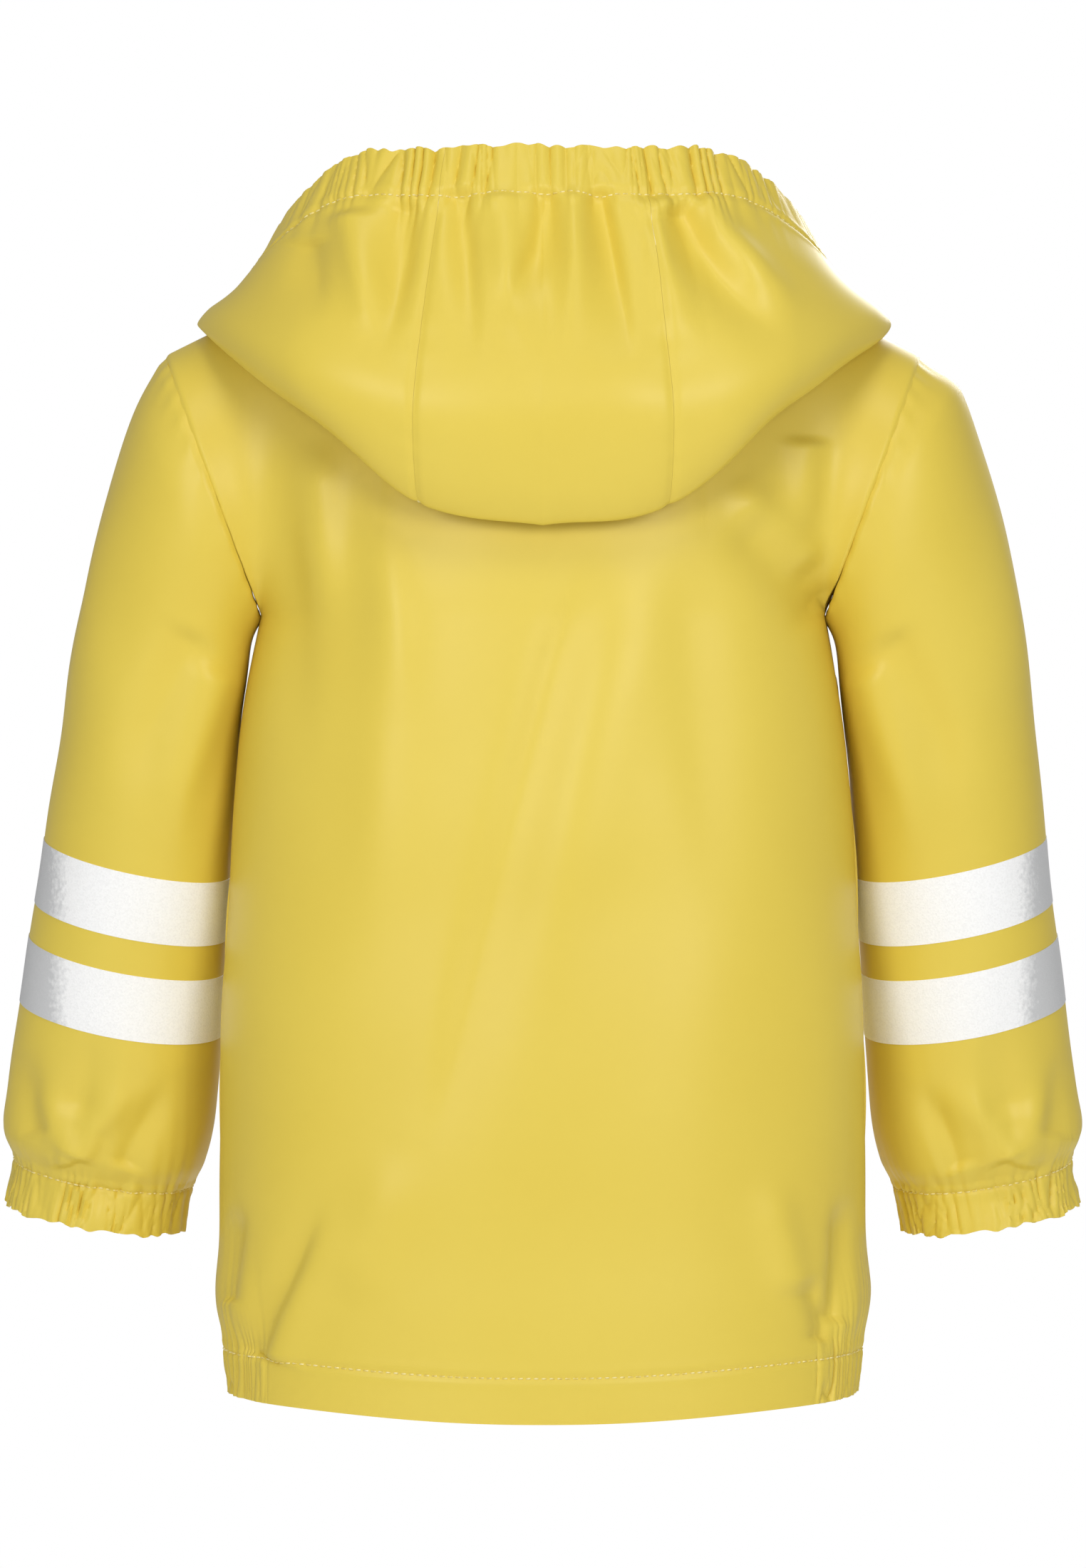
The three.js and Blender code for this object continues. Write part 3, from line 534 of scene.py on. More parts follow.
def make_coated_cloth():
    """Polyester knit with a polyurethane film: a smooth skin, a broad soft shine, a hint of knit under it."""
    material, tree, shader, place = new_material("polyurethane_coated_polyester", Roughness=0.42, IOR=1.4)
    for socket, value in (("Coat Weight", 0.1), ("Coat Roughness", 0.45), ("Coat IOR", 1.4)):
        shader.inputs[socket].default_value = value
    cloudy = node(tree, "ShaderNodeTexNoise", {"Vector": place, "Scale": 9.0, "Detail": 2.0})
    shades = {"Factor": cloudy.outputs["Fac"], "A": srgb("#E1C649"), "B": srgb("#E7CF57")}
    tone = node(tree, "ShaderNodeMix", shades, data_type="RGBA")
    tree.links.new(tone.outputs[2], shader.inputs["Base Color"])
    # Film wipes on unevenly, so the shine varies a little over a few centimetres.
    sheen = node(tree, "ShaderNodeTexNoise", {"Vector": place, "Scale": 40.0, "Detail": 3.0})
    rough = node(tree, "ShaderNodeMapRange", {"Value": sheen.outputs["Fac"], "To Min": 0.37, "To Max": 0.45})
    tree.links.new(rough.outputs["Result"], shader.inputs["Roughness"])
    # The knit's loops, 0.8 mm apart, press through the film; the film itself has a finer grain.
    knit = node(tree, "ShaderNodeTexVoronoi", {"Vector": place, "Scale": 1250.0, "Randomness": 0.45})
    grain = node(tree, "ShaderNodeTexNoise", {"Vector": place, "Scale": 3000.0, "Detail": 2.0})
    heights = {0: knit.outputs["Distance"], 1: grain.outputs["Fac"]}
    both = node(tree, "ShaderNodeMath", heights, operation="ADD")
    bump = node(tree, "ShaderNodeBump", {"Height": both.outputs[0], "Strength": 0.05, "Distance": 0.0002})
    tree.links.new(bump.outputs["Normal"], shader.inputs["Normal"])
    return material


def make_knit_inside():
    """The uncoated side: a fine warp knit, matt and a little paler, its wales drawn 1.2 mm apart to show."""
    material, tree, shader, place = new_material("warp_knitted_polyester", Roughness=0.9, Sheen_Weight=0.25)
    upright = {"Vector": place, "Scale": 130.0, "Distortion": 1.2, "Detail": 1.0}
    wales = node(tree, "ShaderNodeTexWave", upright)
    level = {"Vector": place, "Scale": 160.0, "Distortion": 1.0, "Detail": 1.0}
    courses = node(tree, "ShaderNodeTexWave", level, bands_direction="Z")
    crossed = {0: wales.outputs["Fac"], 1: courses.outputs["Fac"]}
    loops = node(tree, "ShaderNodeMath", crossed, operation="MULTIPLY")
    shades = {"Factor": loops.outputs[0], "A": srgb("#D8BC55"), "B": srgb("#E4CC70")}
    tone = node(tree, "ShaderNodeMix", shades, data_type="RGBA")
    tree.links.new(tone.outputs[2], shader.inputs["Base Color"])
    bump = node(tree, "ShaderNodeBump", {"Height": loops.outputs[0], "Strength": 0.35, "Distance": 0.0003})
    tree.links.new(bump.outputs["Normal"], shader.inputs["Normal"])
    return material


def make_reflective():
    """Retroreflective tape: glass beads in clear binder over silver, white to the eye, with painted glints
    for the beads' fine sparkle and painted shade turning its outer side grey.
    """
    material, tree, shader, place = new_material("glass_bead_reflective_tape", Roughness=0.6, IOR=1.5)
    beads = node(tree, "ShaderNodeTexVoronoi", {"Vector": place, "Scale": 1400.0})
    # Painted glints: each bead gets its own brightness between 0.86 and 1 in the base colour, for the sparkle
    # of light off the beads.
    glint = {"Value": beads.outputs["Color"], "From Min": 0.1, "From Max": 0.7, "To Min": 0.86, "To Max": 1.0}
    tone = node(tree, "ShaderNodeMapRange", glint)
    # Round the outer side of the arm the beads send less light back, so the tape is painted a sparkling grey
    # there: painted shade in the base colour, set by how far out from the middle the tape lies.
    across = node(tree, "ShaderNodeSeparateXYZ", {"Vector": place}).outputs["X"]
    outward = node(tree, "ShaderNodeMath", {0: across}, operation="ABSOLUTE")
    ragged = node(tree, "ShaderNodeTexNoise", {"Vector": place, "Scale": 500.0, "Detail": 3.0})
    spread = {0: ragged.outputs["Fac"], 1: 0.012, 2: outward.outputs[0]}
    edge = node(tree, "ShaderNodeMath", spread, operation="MULTIPLY_ADD")
    painted_shade_ramp = {"Value": edge.outputs[0], "From Min": 0.2135, "From Max": 0.2215, "To Min": 1.0, "To Max": 0.25}
    turned = node(tree, "ShaderNodeMapRange", painted_shade_ramp)
    # silver is the painted glints times the painted shade, so its grey end is painted shade on the outer side
    # of the arm.
    glint_and_painted_shade = {0: tone.outputs["Result"], 1: turned.outputs["Result"]}
    silver = node(tree, "ShaderNodeMath", glint_and_painted_shade, operation="MULTIPLY")
    shades = {"Factor": silver.outputs[0], "A": srgb("#BEBFC1"), "B": srgb("#FFFFFF")}
    mixed = node(tree, "ShaderNodeMix", shades, data_type="RGBA")
    tree.links.new(mixed.outputs[2], shader.inputs["Base Color"])
    height = beads.outputs["Distance"]
    bump = node(tree, "ShaderNodeBump", {"Height": height, "Strength": 0.25, "Distance": 0.0003})
    tree.links.new(bump.outputs["Normal"], shader.inputs["Normal"])
    return material


def make_seam_tape():
    """Hot-welded seam tape: a smooth film with the cloth's colour behind it and the knit pressed through."""
    material, tree, shader, place = new_material("welded_seam_tape", Roughness=0.38, IOR=1.5)
    print_through = node(tree, "ShaderNodeTexVoronoi", {"Vector": place, "Scale": 900.0, "Randomness": 0.5})
    height = print_through.outputs["Distance"]
    shades = {"Factor": height, "A": srgb("#DCC568"), "B": srgb("#EFE2A4")}
    tone = node(tree, "ShaderNodeMix", shades, data_type="RGBA")
    tree.links.new(tone.outputs[2], shader.inputs["Base Color"])
    bump = node(tree, "ShaderNodeBump", {"Height": height, "Strength": 0.2, "Distance": 0.0002})
    tree.links.new(bump.outputs["Normal"], shader.inputs["Normal"])
    return material


def make_zip_tape():
    """Woven polyester zip tape: a herringbone of fine twill lines 0.9 mm apart."""
    material, tree, shader, place = new_material("woven_zip_tape", Roughness=0.85, Sheen_Weight=0.3)
    slanting = {"Vector": place, "Scale": 175.0, "Distortion": 0.6}
    twill = node(tree, "ShaderNodeTexWave", slanting, bands_direction="DIAGONAL")
    shades = {"Factor": twill.outputs["Fac"], "A": srgb("#B7931F"), "B": srgb("#DDBB3A")}
    tone = node(tree, "ShaderNodeMix", shades, data_type="RGBA")
    tree.links.new(tone.outputs[2], shader.inputs["Base Color"])
    bump = node(tree, "ShaderNodeBump", {"Height": twill.outputs["Fac"], "Strength": 0.5, "Distance": 0.0003})
    tree.links.new(bump.outputs["Normal"], shader.inputs["Normal"])
    return material


def make_zip_plastic():
    """Acetal, injection moulded and dyed to match: a waxy half shine with faint flow marks."""
    material, tree, shader, place = new_material("moulded_acetal", Roughness=0.35, IOR=1.48)
    flow = node(tree, "ShaderNodeTexNoise", {"Vector": place, "Scale": 350.0, "Detail": 3.0})
    shades = {"Factor": flow.outputs["Fac"], "A": srgb("#D9B22A"), "B": srgb("#E7C443")}
    tone = node(tree, "ShaderNodeMix", shades, data_type="RGBA")
    tree.links.new(tone.outputs[2], shader.inputs["Base Color"])
    bump = node(tree, "ShaderNodeBump", {"Height": flow.outputs["Fac"], "Strength": 0.08, "Distance": 0.0003})
    tree.links.new(bump.outputs["Normal"], shader.inputs["Normal"])
    return material


def make_nickel():
    """Nickel-plated zinc, tumbled bright: a warm grey metal with a fine wear of rub marks."""
    material, tree, shader, place = new_material("nickel_plated_zinc", Metallic=1.0, Roughness=0.28)
    rub = node(tree, "ShaderNodeTexNoise", {"Vector": place, "Scale": 900.0, "Detail": 4.0, "Roughness": 0.7})
    rough = node(tree, "ShaderNodeMapRange", {"Value": rub.outputs["Fac"], "To Min": 0.2, "To Max": 0.42})
    tree.links.new(rough.outputs["Result"], shader.inputs["Roughness"])
    shades = {"Factor": rub.outputs["Fac"], "A": srgb("#B9B7B0"), "B": srgb("#D2D0CA")}
    tone = node(tree, "ShaderNodeMix", shades, data_type="RGBA")
    tree.links.new(tone.outputs[2], shader.inputs["Base Color"])
    return material


def make_label_satin():
    """Woven satin label tape, blank: fine cross threads and a soft sheen."""
    material, tree, shader, place = new_material("woven_satin_label", Roughness=0.5, Sheen_Weight=0.4)
    weft = node(tree, "ShaderNodeTexWave", {"Vector": place, "Scale": 260.0}, bands_direction="Z")
    shades = {"Factor": weft.outputs["Fac"], "A": srgb("#E4E3DE"), "B": srgb("#F8F8F5")}
    tone = node(tree, "ShaderNodeMix", shades, data_type="RGBA")
    tree.links.new(tone.outputs[2], shader.inputs["Base Color"])
    bump = node(tree, "ShaderNodeBump", {"Height": weft.outputs["Fac"], "Strength": 0.3, "Distance": 0.0002})
    tree.links.new(bump.outputs["Normal"], shader.inputs["Normal"])
    return material


def make_thread():
    """Spun polyester sewing thread, a shade paler than the cloth, with its twist showing at 0.8 mm."""
    material, tree, shader, place = new_material("spun_polyester_thread", Roughness=0.7, Sheen_Weight=0.2)
    twist = node(tree, "ShaderNodeTexWave", {"Vector": place, "Scale": 200.0}, bands_direction="DIAGONAL")
    shades = {"Factor": twist.outputs["Fac"], "A": srgb("#E3CB62"), "B": srgb("#FBEDA6")}
    tone = node(tree, "ShaderNodeMix", shades, data_type="RGBA")
    tree.links.new(tone.outputs[2], shader.inputs["Base Color"])
    return material


def make_floor():
    """Matt white painted board."""
    return new_material("matt_white_board", Roughness=0.9, Base_Color=srgb("#F4F4F2"))[0]


coated = make_coated_cloth()
knit_inside = make_knit_inside()
reflective = make_reflective()
seam_tape = make_seam_tape()
zip_tape = make_zip_tape()
zip_plastic = make_zip_plastic()
nickel = make_nickel()
label_satin = make_label_satin()
thread = make_thread()
CLOTH = [coated, knit_inside]

SIDES = (("left", 1), ("right", -1))


def on_side(surface, sign):
    return surface if sign > 0 else other_side(surface)


def outward(p, n, sign):
    """Turns the columns of a grid made for the left side round where it lies on the right."""
    return (p, n) if sign > 0 else (p[:, ::-1], n[:, ::-1])


def joined(d, on_back, on_front):
    """Points and normals from the back where d is 0 or more, and from a front where it is below 0."""
    pick = (d >= 0)[..., None]
    return np.where(pick, on_back[0], on_front[0]), np.where(pick, on_back[1], on_front[1])


def sewn(piece, body_name):
    """Sewing thread rides with the cloth that it holds."""
    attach(piece, body_name)
    return piece


# ------------------------------------------------------------------ body

SIDE_ARC = 210.0  # millimetres of cloth from the middle of the back to a side seam, at the armpit
HEM_LINE = BAND / (2 * ARMPIT_Z)  # how far up the body the hem's stitches are
# Closer rows in the gathered hem.
HEM_VS = np.concatenate([np.linspace(0, 0.031, 20), np.linspace(0.034, 0.12, 40), np.linspace(0.123, 1, 165)])


def hem_gather(p, side, seed):
    """How the elastic at each side of the hem draws the cloth in. side is 0 at the centre, 1 at the seam."""
    height = p[..., 2] - HEM_SIDE_LIFT * side**2
    arc = side * 150 * np.where(p[..., 0] < 0, -1, 1)
    grip = smooth(side, 0.66, 0.78)
    away = height - BAND
    modes = ((5.4, 2.8, 8.0), (8.6, 1.0, 16.0), (12.0, 0.9, 30.0), (19.0, 0.9, 48.0))
    puffs = 1.15 * gathers(arc, away, seed, modes, slant=0.1) * smooth(side, 0.60, 0.68)
    drawn = -1.6 * grip * (1 - smooth(height, 15, 42)) + 2.4 * grip * np.exp(-(((height - 48) / 18) ** 2))
    curl = -1.4 * smooth(side, 0.7, 1.0) * (1 - smooth(height, -2, 16))
    return puffs + drawn + curl + sewn_line(height - BAND)


def lift_hem(p, side):
    """The side elastics draw the hem up towards the side seams."""
    p[..., 2] += 6.0 * (1 - np.exp(-((side / 0.42) ** 2))) * (1 - smooth(p[..., 2], 5, 80))
    return p


def shape_back(p, n, u, v):
    s = np.abs(1 - 2 * u)
    facing = n[..., 1]
    rise = hem_gather(p, s, 11)
    folds = [
        ([(-24, 385), (-6, 330), (12, 260), (26, 205), (40, 140), (50, 95)], -2.0, (22, 10), (0.2, 0.35)),
        ([(-40, 380), (-24, 310), (-8, 240), (8, 170)], 1.6, (20, 16), (0.3, 0.4)),
        ([(60, 392), (66, 330), (70, 250), (72, 180)], 1.3, (16, 14), (0.2, 0.5)),
        ([(97, 428), (97, 405), (96, 380), (94, 340)], 2.2, (9, 13), (0.25, 0.5)),
        ([(110, 418), (109, 380), (107, 330), (106, 270)], -1.3, (9, 10), (0.4, 0.5)),
        ([(77, 408), (70, 385), (63, 350), (60, 300)], 1.5, (9, 13), (0.4, 0.5)),
        ([(-84, 396), (-98, 383), (-112, 367), (-127, 350)], -2.4, (9, 14), (0.25, 0.15)),
        ([(-80, 410), (-92, 396), (-106, 381), (-120, 368)], 2.2, (9, 8), (0.3, 0.2)),
        ([(-115, 428), (-113, 405), (-110, 380)], 2.0, (8, 9), (0.1, 0.5)),
        ([(-62, 385), (-66, 330), (-72, 270), (-80, 200)], -1.2, (18, 14), (0.2, 0.5)),
        ([(92, 104), (101, 84), (110, 62), (118, 43), (124, 23)], -1.7, (4, 9), (0.5, 0.02)),
        ([(84, 98), (96, 72), (107, 48), (116, 22)], 1.3, (9, 7), (0.5, 0.02)),
        ([(132, 96), (134, 75), (135, 48)], -2.0, (4, 5), (0.3, 0.1)),
        ([(-131, 100), (-130, 70), (-127, 38)], -2.6, (4, 5), (0.3, 0.1)),
        ([(-114, 64), (-118, 54), (-122, 40), (-121, 30)], -1.8, (4, 6), (0.3, 0.1)),
        ([(-96, 110), (-104, 80), (-110, 52)], 1.6, (8, 9), (0.4, 0.2)),
        ([(60, 120), (74, 84), (92, 52)], 1.2, (16, 12), (0.4, 0.3)),
    ]
    for path, height, wide, ends in folds:
        rise = rise + fold(p, path, height, wide, ends, facing)
    rise = rise + 0.8 * waves(p, 3, (170, 110, 75)) * smooth(p[..., 2], 20, 70)
    rise = rise * (1 - smooth(v, 0.95, 0.995))
    rise = rise + seam_dip((1 - s) * SIDE_ARC, 1.3, 1.7) * smooth(v, 0.48, 0.52)
    return lift_hem(p + n * rise[..., None], s)


def shape_front(sign):
    def shape(p, n, u, v):
        s = u if sign > 0 else 1 - u
        rise = hem_gather(p, s, 17 + sign) * smooth(s, 0.5, 0.62)
        flat = smooth(np.abs(p[..., 0]), 26, 60)
        folds = [
            ([(128, 335), (118, 300), (112, 250), (110, 190)], 1.8, (10, 12), (0.1, 0.4)),
            ([(114, 345), (98, 330), (80, 300), (70, 240)], -1.6, (10, 12), (0.1, 0.4)),
            ([(92, 455), (84, 420), (78, 370)], 1.4, (12, 12), (0.1, 0.5)),
            ([(122, 100), (126, 70), (128, 35)], -2.0, (5, 6), (0.4, 0.1)),
            ([(104, 60), (112, 48), (118, 30)], 1.2, (6, 6), (0.4, 0.1)),
        ]
        for path, height, wide, ends in folds:
            path = [(sign * x, z) for x, z in path]
            rise = rise + fold(p, path, height, wide, ends, -n[..., 1])
        rise = rise + 0.8 * waves(p, 23 + sign, (150, 95, 70)) * smooth(p[..., 2], 20, 70)
        rise = rise * (1 - smooth(v, 0.95, 0.995))
        rise = rise * flat + seam_dip((1 - s) * SIDE_ARC, 1.3, 1.7) * smooth(v, 0.48, 0.52)
        return lift_hem(p + n * rise[..., None], s)

    return shape


# Closer columns where the hem is gathered.
HALF_US = np.concatenate([np.linspace(0, 0.62, 80), np.linspace(0.6265, 1, 138)])
BACK_US = np.concatenate([(1 - HALF_US[:0:-1]) / 2, (1 + HALF_US) / 2])

back = Cloth(back_surface, BACK_US, HEM_VS, shape_back)
back_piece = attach(shell("back_cloth", back.p, back.n, CLOTH), "torso")
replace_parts(back_piece, "back_panel")

fronts = {}
for side, sign in SIDES:
    us = HALF_US if sign > 0 else 1 - HALF_US[::-1]
    cloth = Cloth(on_side(front_surface, sign), us, HEM_VS, shape_front(sign))
    fronts[side] = cloth
    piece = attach(shell(f"front_cloth_{side}", cloth.p, cloth.n, CLOTH), "torso")
    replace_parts(piece, f"front_panel_{side}")


def across_side(d, v, sign):
    """Places at distance d round the side seam, below 0 on the front, and at v up the body."""
    behind, before = np.maximum(d, 0) / 2, np.maximum(-d, 0)
    on_back = back.at(behind if sign > 0 else 1 - behind, v)
    on_front = fronts["left" if sign > 0 else "right"].at(1 - before if sign > 0 else before, v)
    return joined(d, on_back, on_front)


for side, sign in SIDES:
    d, v = np.meshgrid(np.linspace(-0.062, 0.062, 9), np.linspace(0.047, 0.492, 120))
    p, n = outward(*across_side(d, v, sign), sign)
    tape_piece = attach(shell(f"side_tape_{side}", p, n, [seam_tape], thick=0.3, off=-1.0), "torso")
    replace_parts(tape_piece, f"side_seam_tape_{side}")

    d, v = np.meshgrid(np.linspace(-0.34, 0.34, 110), np.linspace(0.002, 0.0285, 12))
    p, n = outward(*across_side(d, v, sign), sign)
    facing_piece = shell(f"hem_facing_{side}", p, n, [knit_inside], thick=0.8, off=-1.7)
    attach(facing_piece, "torso")
    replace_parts(facing_piece, f"hem_elastic_{side}")

# ------------------------------------------------------------------ sleeves

CUFF_RADIUS = 38.0  # the mean radius that turns an angle round a sleeve into millimetres of cloth


def shape_sleeve(sign):
    def shape(p, n, u, v):
        ring = lerp(SLEEVE_START, SLEEVE_END, v)
        turn = (u if sign > 0 else 1 - u) * 2 * math.pi
        arc = turn * CUFF_RADIUS
        away = (CUFF_LINE - ring) * CUFF_RING
        modes = ((4.8, 1.1, 5.0), (8.0, 1.6, 10.0), (13.0, 1.0, 20.0), (21.0, 0.7, 34.0))
        puffs = gathers(arc, away, 31 + sign, modes)
        rise = 1.2 * puffs + sewn_line((ring - CUFF_LINE) * CUFF_RING)
        rise = rise + 1.6 * np.exp(-(((ring - 9.0) / 0.7) ** 2))  # loose cloth bags out above the elastic
        back_folds = [
            ([(206, 405), (200, 360), (196, 300)], 1.2, (12, 14), (0.2, 0.4)),
            ([(150, 345), (160, 325), (172, 300), (180, 262)], -1.6, (9, 12), (0.1, 0.5)),
            ([(140, 330), (148, 305), (158, 275), (163, 240)], 1.8, (8, 9), (0.1, 0.5)),
            ([(176, 150), (186, 138), (196, 126), (203, 112)], 1.8, (6, 8), (0.5, 0.1)),
            ([(222, 148), (216, 135), (210, 122), (206, 110)], 1.6, (7, 6), (0.5, 0.1)),
            ([(163, 150), (170, 135), (178, 120), (183, 108)], -1.6, (6, 6), (0.5, 0.1)),
            ([(192, 172), (200, 150), (205, 130)], -1.2, (9, 8), (0.5, 0.2)),
            ([(228, 165), (226, 145), (222, 122)], -1.4, (7, 6), (0.5, 0.1)),
        ]
        for path, height, wide, ends in back_folds:
            path = [(sign * x, z) for x, z in path]
            rise = rise + fold(p, path, height, wide, ends, np.abs(n[..., 1]))
        rise = rise + 0.6 * waves(p, 41 + sign, (120, 80, 55)) * smooth(ring, 0.3, 1.5)
        # the sleeve head is eased into the armhole, so it puckers a little along the seam
        pucker = 0.22 * np.sin(arc * 2 * math.pi / 9 + 1.5 * np.sin(arc / 17)) * np.exp(-((ring / 0.35) ** 2))
        rise = rise + pucker + seam_dip((ring - SLEEVE_START) * 20, 1.3, 1.6)
        if sign < 0:  # this sleeve stands a little fuller below its shoulder
            fuller = np.maximum(np.cos(turn), 0) ** 1.5 * smooth(ring, 0.05, 0.7)
            rise = rise + 7.5 * fuller * (1 - smooth(ring, 2.0, 6.5))
        moved = p + n * rise[..., None]
        moved[..., 2] += smooth(ring, 10.3, SLEEVE_END) * ragged_edge(arc)
        return moved

    return shape


# Closer rows in the gathered cuff.
SLEEVE_VS = np.concatenate(
    [np.linspace(0, 0.78, 130), np.linspace(0.784, 0.905, 46), np.linspace(0.908, 1, 26)]
)
BANDS = {"upper": 5.13, "lower": 6.38}  # the ring where each reflective tape starts
REFLECTIVE_WIDTH = 28


def sleeve_at(ring):
    return (ring - SLEEVE_START) / (SLEEVE_END - SLEEVE_START)


def blend_sleeve(piece):
    """Bakes the piece's placing into its mesh."""
    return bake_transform(piece)


for side, sign in SIDES:
    body_name = f"{side}_sleeve"
    us = np.linspace(0, 1, 241)
    cloth = Cloth(on_side(sleeve_surface, sign), us, SLEEVE_VS, shape_sleeve(sign), closed=True)
    piece = shell(f"sleeve_cloth_{side}", cloth.p, cloth.n, CLOTH, closed=True)
    blend_sleeve(piece)
    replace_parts(piece, f"sleeve_{side}")
    for name, ring in BANDS.items():
        down = through(SLEEVE_RINGS, np.array([ring, ring + 1]))[:, 1]
        vs = np.linspace(sleeve_at(ring), sleeve_at(ring + REFLECTIVE_WIDTH / (down[0] - down[1])), 24)
        name = f"{name}_{side}"
        tape_piece = strip_on(f"reflective_tape_{name}", cloth, us, vs, [reflective], 0.3, 0.68, closed=True)
        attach(tape_piece, body_name)
        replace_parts(tape_piece, f"reflective_band_{name}")
    vs = np.linspace(sleeve_at(CUFF_LINE + 0.03), sleeve_at(SLEEVE_END - 0.07), 20)
    facing_piece = strip_on(f"cuff_facing_{side}", cloth, us, vs, [knit_inside], 0.8, -1.6, closed=True)
    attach(facing_piece, body_name)
    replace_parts(facing_piece, f"cuff_elastic_{side}")
    line = np.linspace(0, 1, 500)
    runs = [cloth.at(line, np.full_like(line, sleeve_at(CUFF_LINE)), THICK / 2)]
    sewn(stitches(f"cuff_stitches_{side}", runs, thread), body_name)

# ------------------------------------------------------------------ hood

# Closer rows near the stitch line and in the casing.
HOOD_VS = np.concatenate(
    [np.linspace(0, 0.7, 120), np.linspace(0.705, HOOD_HEM, 50), np.linspace(HOOD_HEM + 0.004, 1, 24)]
)
# Millimetres of cloth along the opening, at each share of the half width.
HOOD_ARC = [(0, 0), (HOOD_SEAM, 43), (0.5, 104), (0.72, 172), (0.87, 250), (1, 340)]
HOOD_OUTER = 330.0  # millimetres of cloth that the hood's v runs through below its stitch line


def shape_hood(p, n, u, v):
    s = 1 - 2 * u
    arc = np.sign(s) * through(HOOD_ARC, np.abs(s))[..., 0]
    away = (HOOD_HEM - v) * np.where(v < HOOD_HEM, HOOD_OUTER, HOOD_CASING)
    crown = 1 - smooth(np.abs(s), 0.46, 0.70)
    modes = ((6.6, 0.5, 4.0), (11.0, 1.9, 8.0), (18.0, 1.1, 13.0), (30.0, 0.9, 26.0))
    puffs = gathers(arc, away, 7, modes, slant=0.3)
    outer = smooth(v, 0.5, 0.62)
    in_casing = smooth(v, HOOD_HEM - 0.01, HOOD_HEM + 0.03)
    rise = puffs * (0.25 + 0.95 * crown) * outer * (1 + 0.25 * in_casing)
    rise = rise + sewn_line((v - HOOD_HEM) * HOOD_CASING, 0.8)
    seam = np.abs(np.abs(s) - HOOD_SEAM) * 165  # millimetres from the nearer seam
    rise = rise + seam_dip(seam, 0.8, 1.7)
    puckers = np.sin(away / 3.3 + 2 * np.sin(away / 9)) * np.exp(-((seam / 5) ** 2))
    rise = rise + 0.2 * puckers * outer
    folds = [
        ([(-24, 538), (-30, 508), (-35, 480), (-37, 452)], -1.5, (4, 10), (0.09, 0.7)),
        ([(-12, 538), (-14, 505), (-12, 475), (-8, 450)], 1.2, (8, 6), (0.09, 0.7)),
        ([(20, 538), (16, 505), (9, 475), (2, 450)], 0.9, (9, 7), (0.09, 0.7)),
        ([(-3, 536), (3, 508), (11, 490), (20, 474)], -1.2, (9, 5), (0.09, 0.6)),
        ([(36, 538), (33, 510), (31, 480), (30, 450)], -1.2, (5, 7), (0.09, 0.7)),
        ([(-58, 532), (-68, 510), (-82, 490), (-108, 462)], -1.6, (6, 12), (0.09, 0.6)),
        ([(-66, 534), (-78, 514), (-94, 496), (-118, 474)], 1.2, (7, 6), (0.09, 0.6)),
        ([(-48, 534), (-52, 505), (-58, 480), (-66, 455)], 1.1, (8, 7), (0.09, 0.6)),
        ([(84, 528), (80, 505), (74, 482), (62, 458)], 1.2, (10, 8), (0.09, 0.6)),
        ([(58, 534), (61, 505), (66, 480), (74, 452)], -1.3, (6, 10), (0.09, 0.6)),
        ([(102, 515), (100, 495), (97, 475)], -0.9, (7, 9), (0.09, 0.6)),
        ([(30, 398), (0, 393), (-30, 398)], 0.5, (9, 7), (0.3, 0.3)),
    ]
    for path, height, wide, ends in folds:
        rise = rise + 2.1 * fold(p, path, height, wide, ends) * outer
    rise = rise + 0.7 * waves(p, 5, (110, 75, 50)) * smooth(v, 0.1, 0.3) * (1 - smooth(v, 0.8, 0.9))
    # the narrow folded sides near the throat lie close together and stay almost smooth
    rise = rise * (1 - 0.85 * smooth(np.abs(s), 0.66, 0.80))
    moved = p + n * rise[..., None]
    moved[..., 2] -= 2.0 * smooth(v, 0.7, 1) * crown
    # the opening's edge is drawn up unevenly by its elastic
    edge = smooth(v, HOOD_HEM, 1) * (0.15 + 0.85 * crown)
    moved[..., 2] += edge * ragged_edge(arc)
    return moved


hood = Cloth(hood_surface, np.linspace(0, 1, 601), HOOD_VS, shape_hood)


def blend_hood(piece):
    """Bakes the piece's placing into its mesh."""
    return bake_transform(piece)


def hood_part(name, low, high, replaced):
    inside = hood.us[(hood.us > low) & (hood.us < high)]
    us = np.concatenate([[low], inside, [high]])
    u, v = np.meshgrid(us, hood.vs)
    p, n = hood.at(u, v)
    piece = blend_hood(shell(name, p, n, CLOTH))
    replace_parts(piece, replaced)
    return piece


SEAM_U = ((1 - HOOD_SEAM) / 2, (1 + HOOD_SEAM) / 2)
slit = 0.0001  # keeps two panels from sharing an edge
hood_part("hood_cloth_centre", SEAM_U[0] + slit, SEAM_U[1] - slit, "hood_centre_panel")
hood_part("hood_cloth_left", 0, SEAM_U[0] - slit, "hood_side_panel_left")
hood_part("hood_cloth_right", SEAM_U[1] + slit, 1, "hood_side_panel_right")

for (side, _), at in zip(SIDES, SEAM_U):
    us, vs = np.linspace(at - 0.025, at + 0.025, 9), np.linspace(0.06, 0.84, 150)
    strip = strip_on(f"hood_tape_{side}", hood, us, vs, [seam_tape], 0.3, -1.0)
    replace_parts(blend_hood(strip), f"hood_seam_tape_{side}")
us, vs = np.linspace(0.1, 0.9, 480), np.linspace(HOOD_HEM + 0.006, 0.992, 16)
hood_facing = strip_on("hood_hem_facing", hood, us, vs, [knit_inside], 0.8, -1.6)
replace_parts(blend_hood(hood_facing), "hood_elastic")

line = np.linspace(0.015, 0.985, 900)
hood_runs = [hood.at(line, np.full_like(line, HOOD_HEM), THICK / 2)]
hood_sewing = stitches("hood_stitches", hood_runs, thread)
blend_hood(hood_sewing)

# ------------------------------------------------------------------ neck, loop and label

us, vs = np.linspace(0.36, 0.64, 60), np.linspace(0.945, 0.995, 10)
facing = strip_on("neck_facing_cloth", back, us, vs, [seam_tape], 0.4, -1.1)
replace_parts(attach(facing, "torso"), "neck_facing")

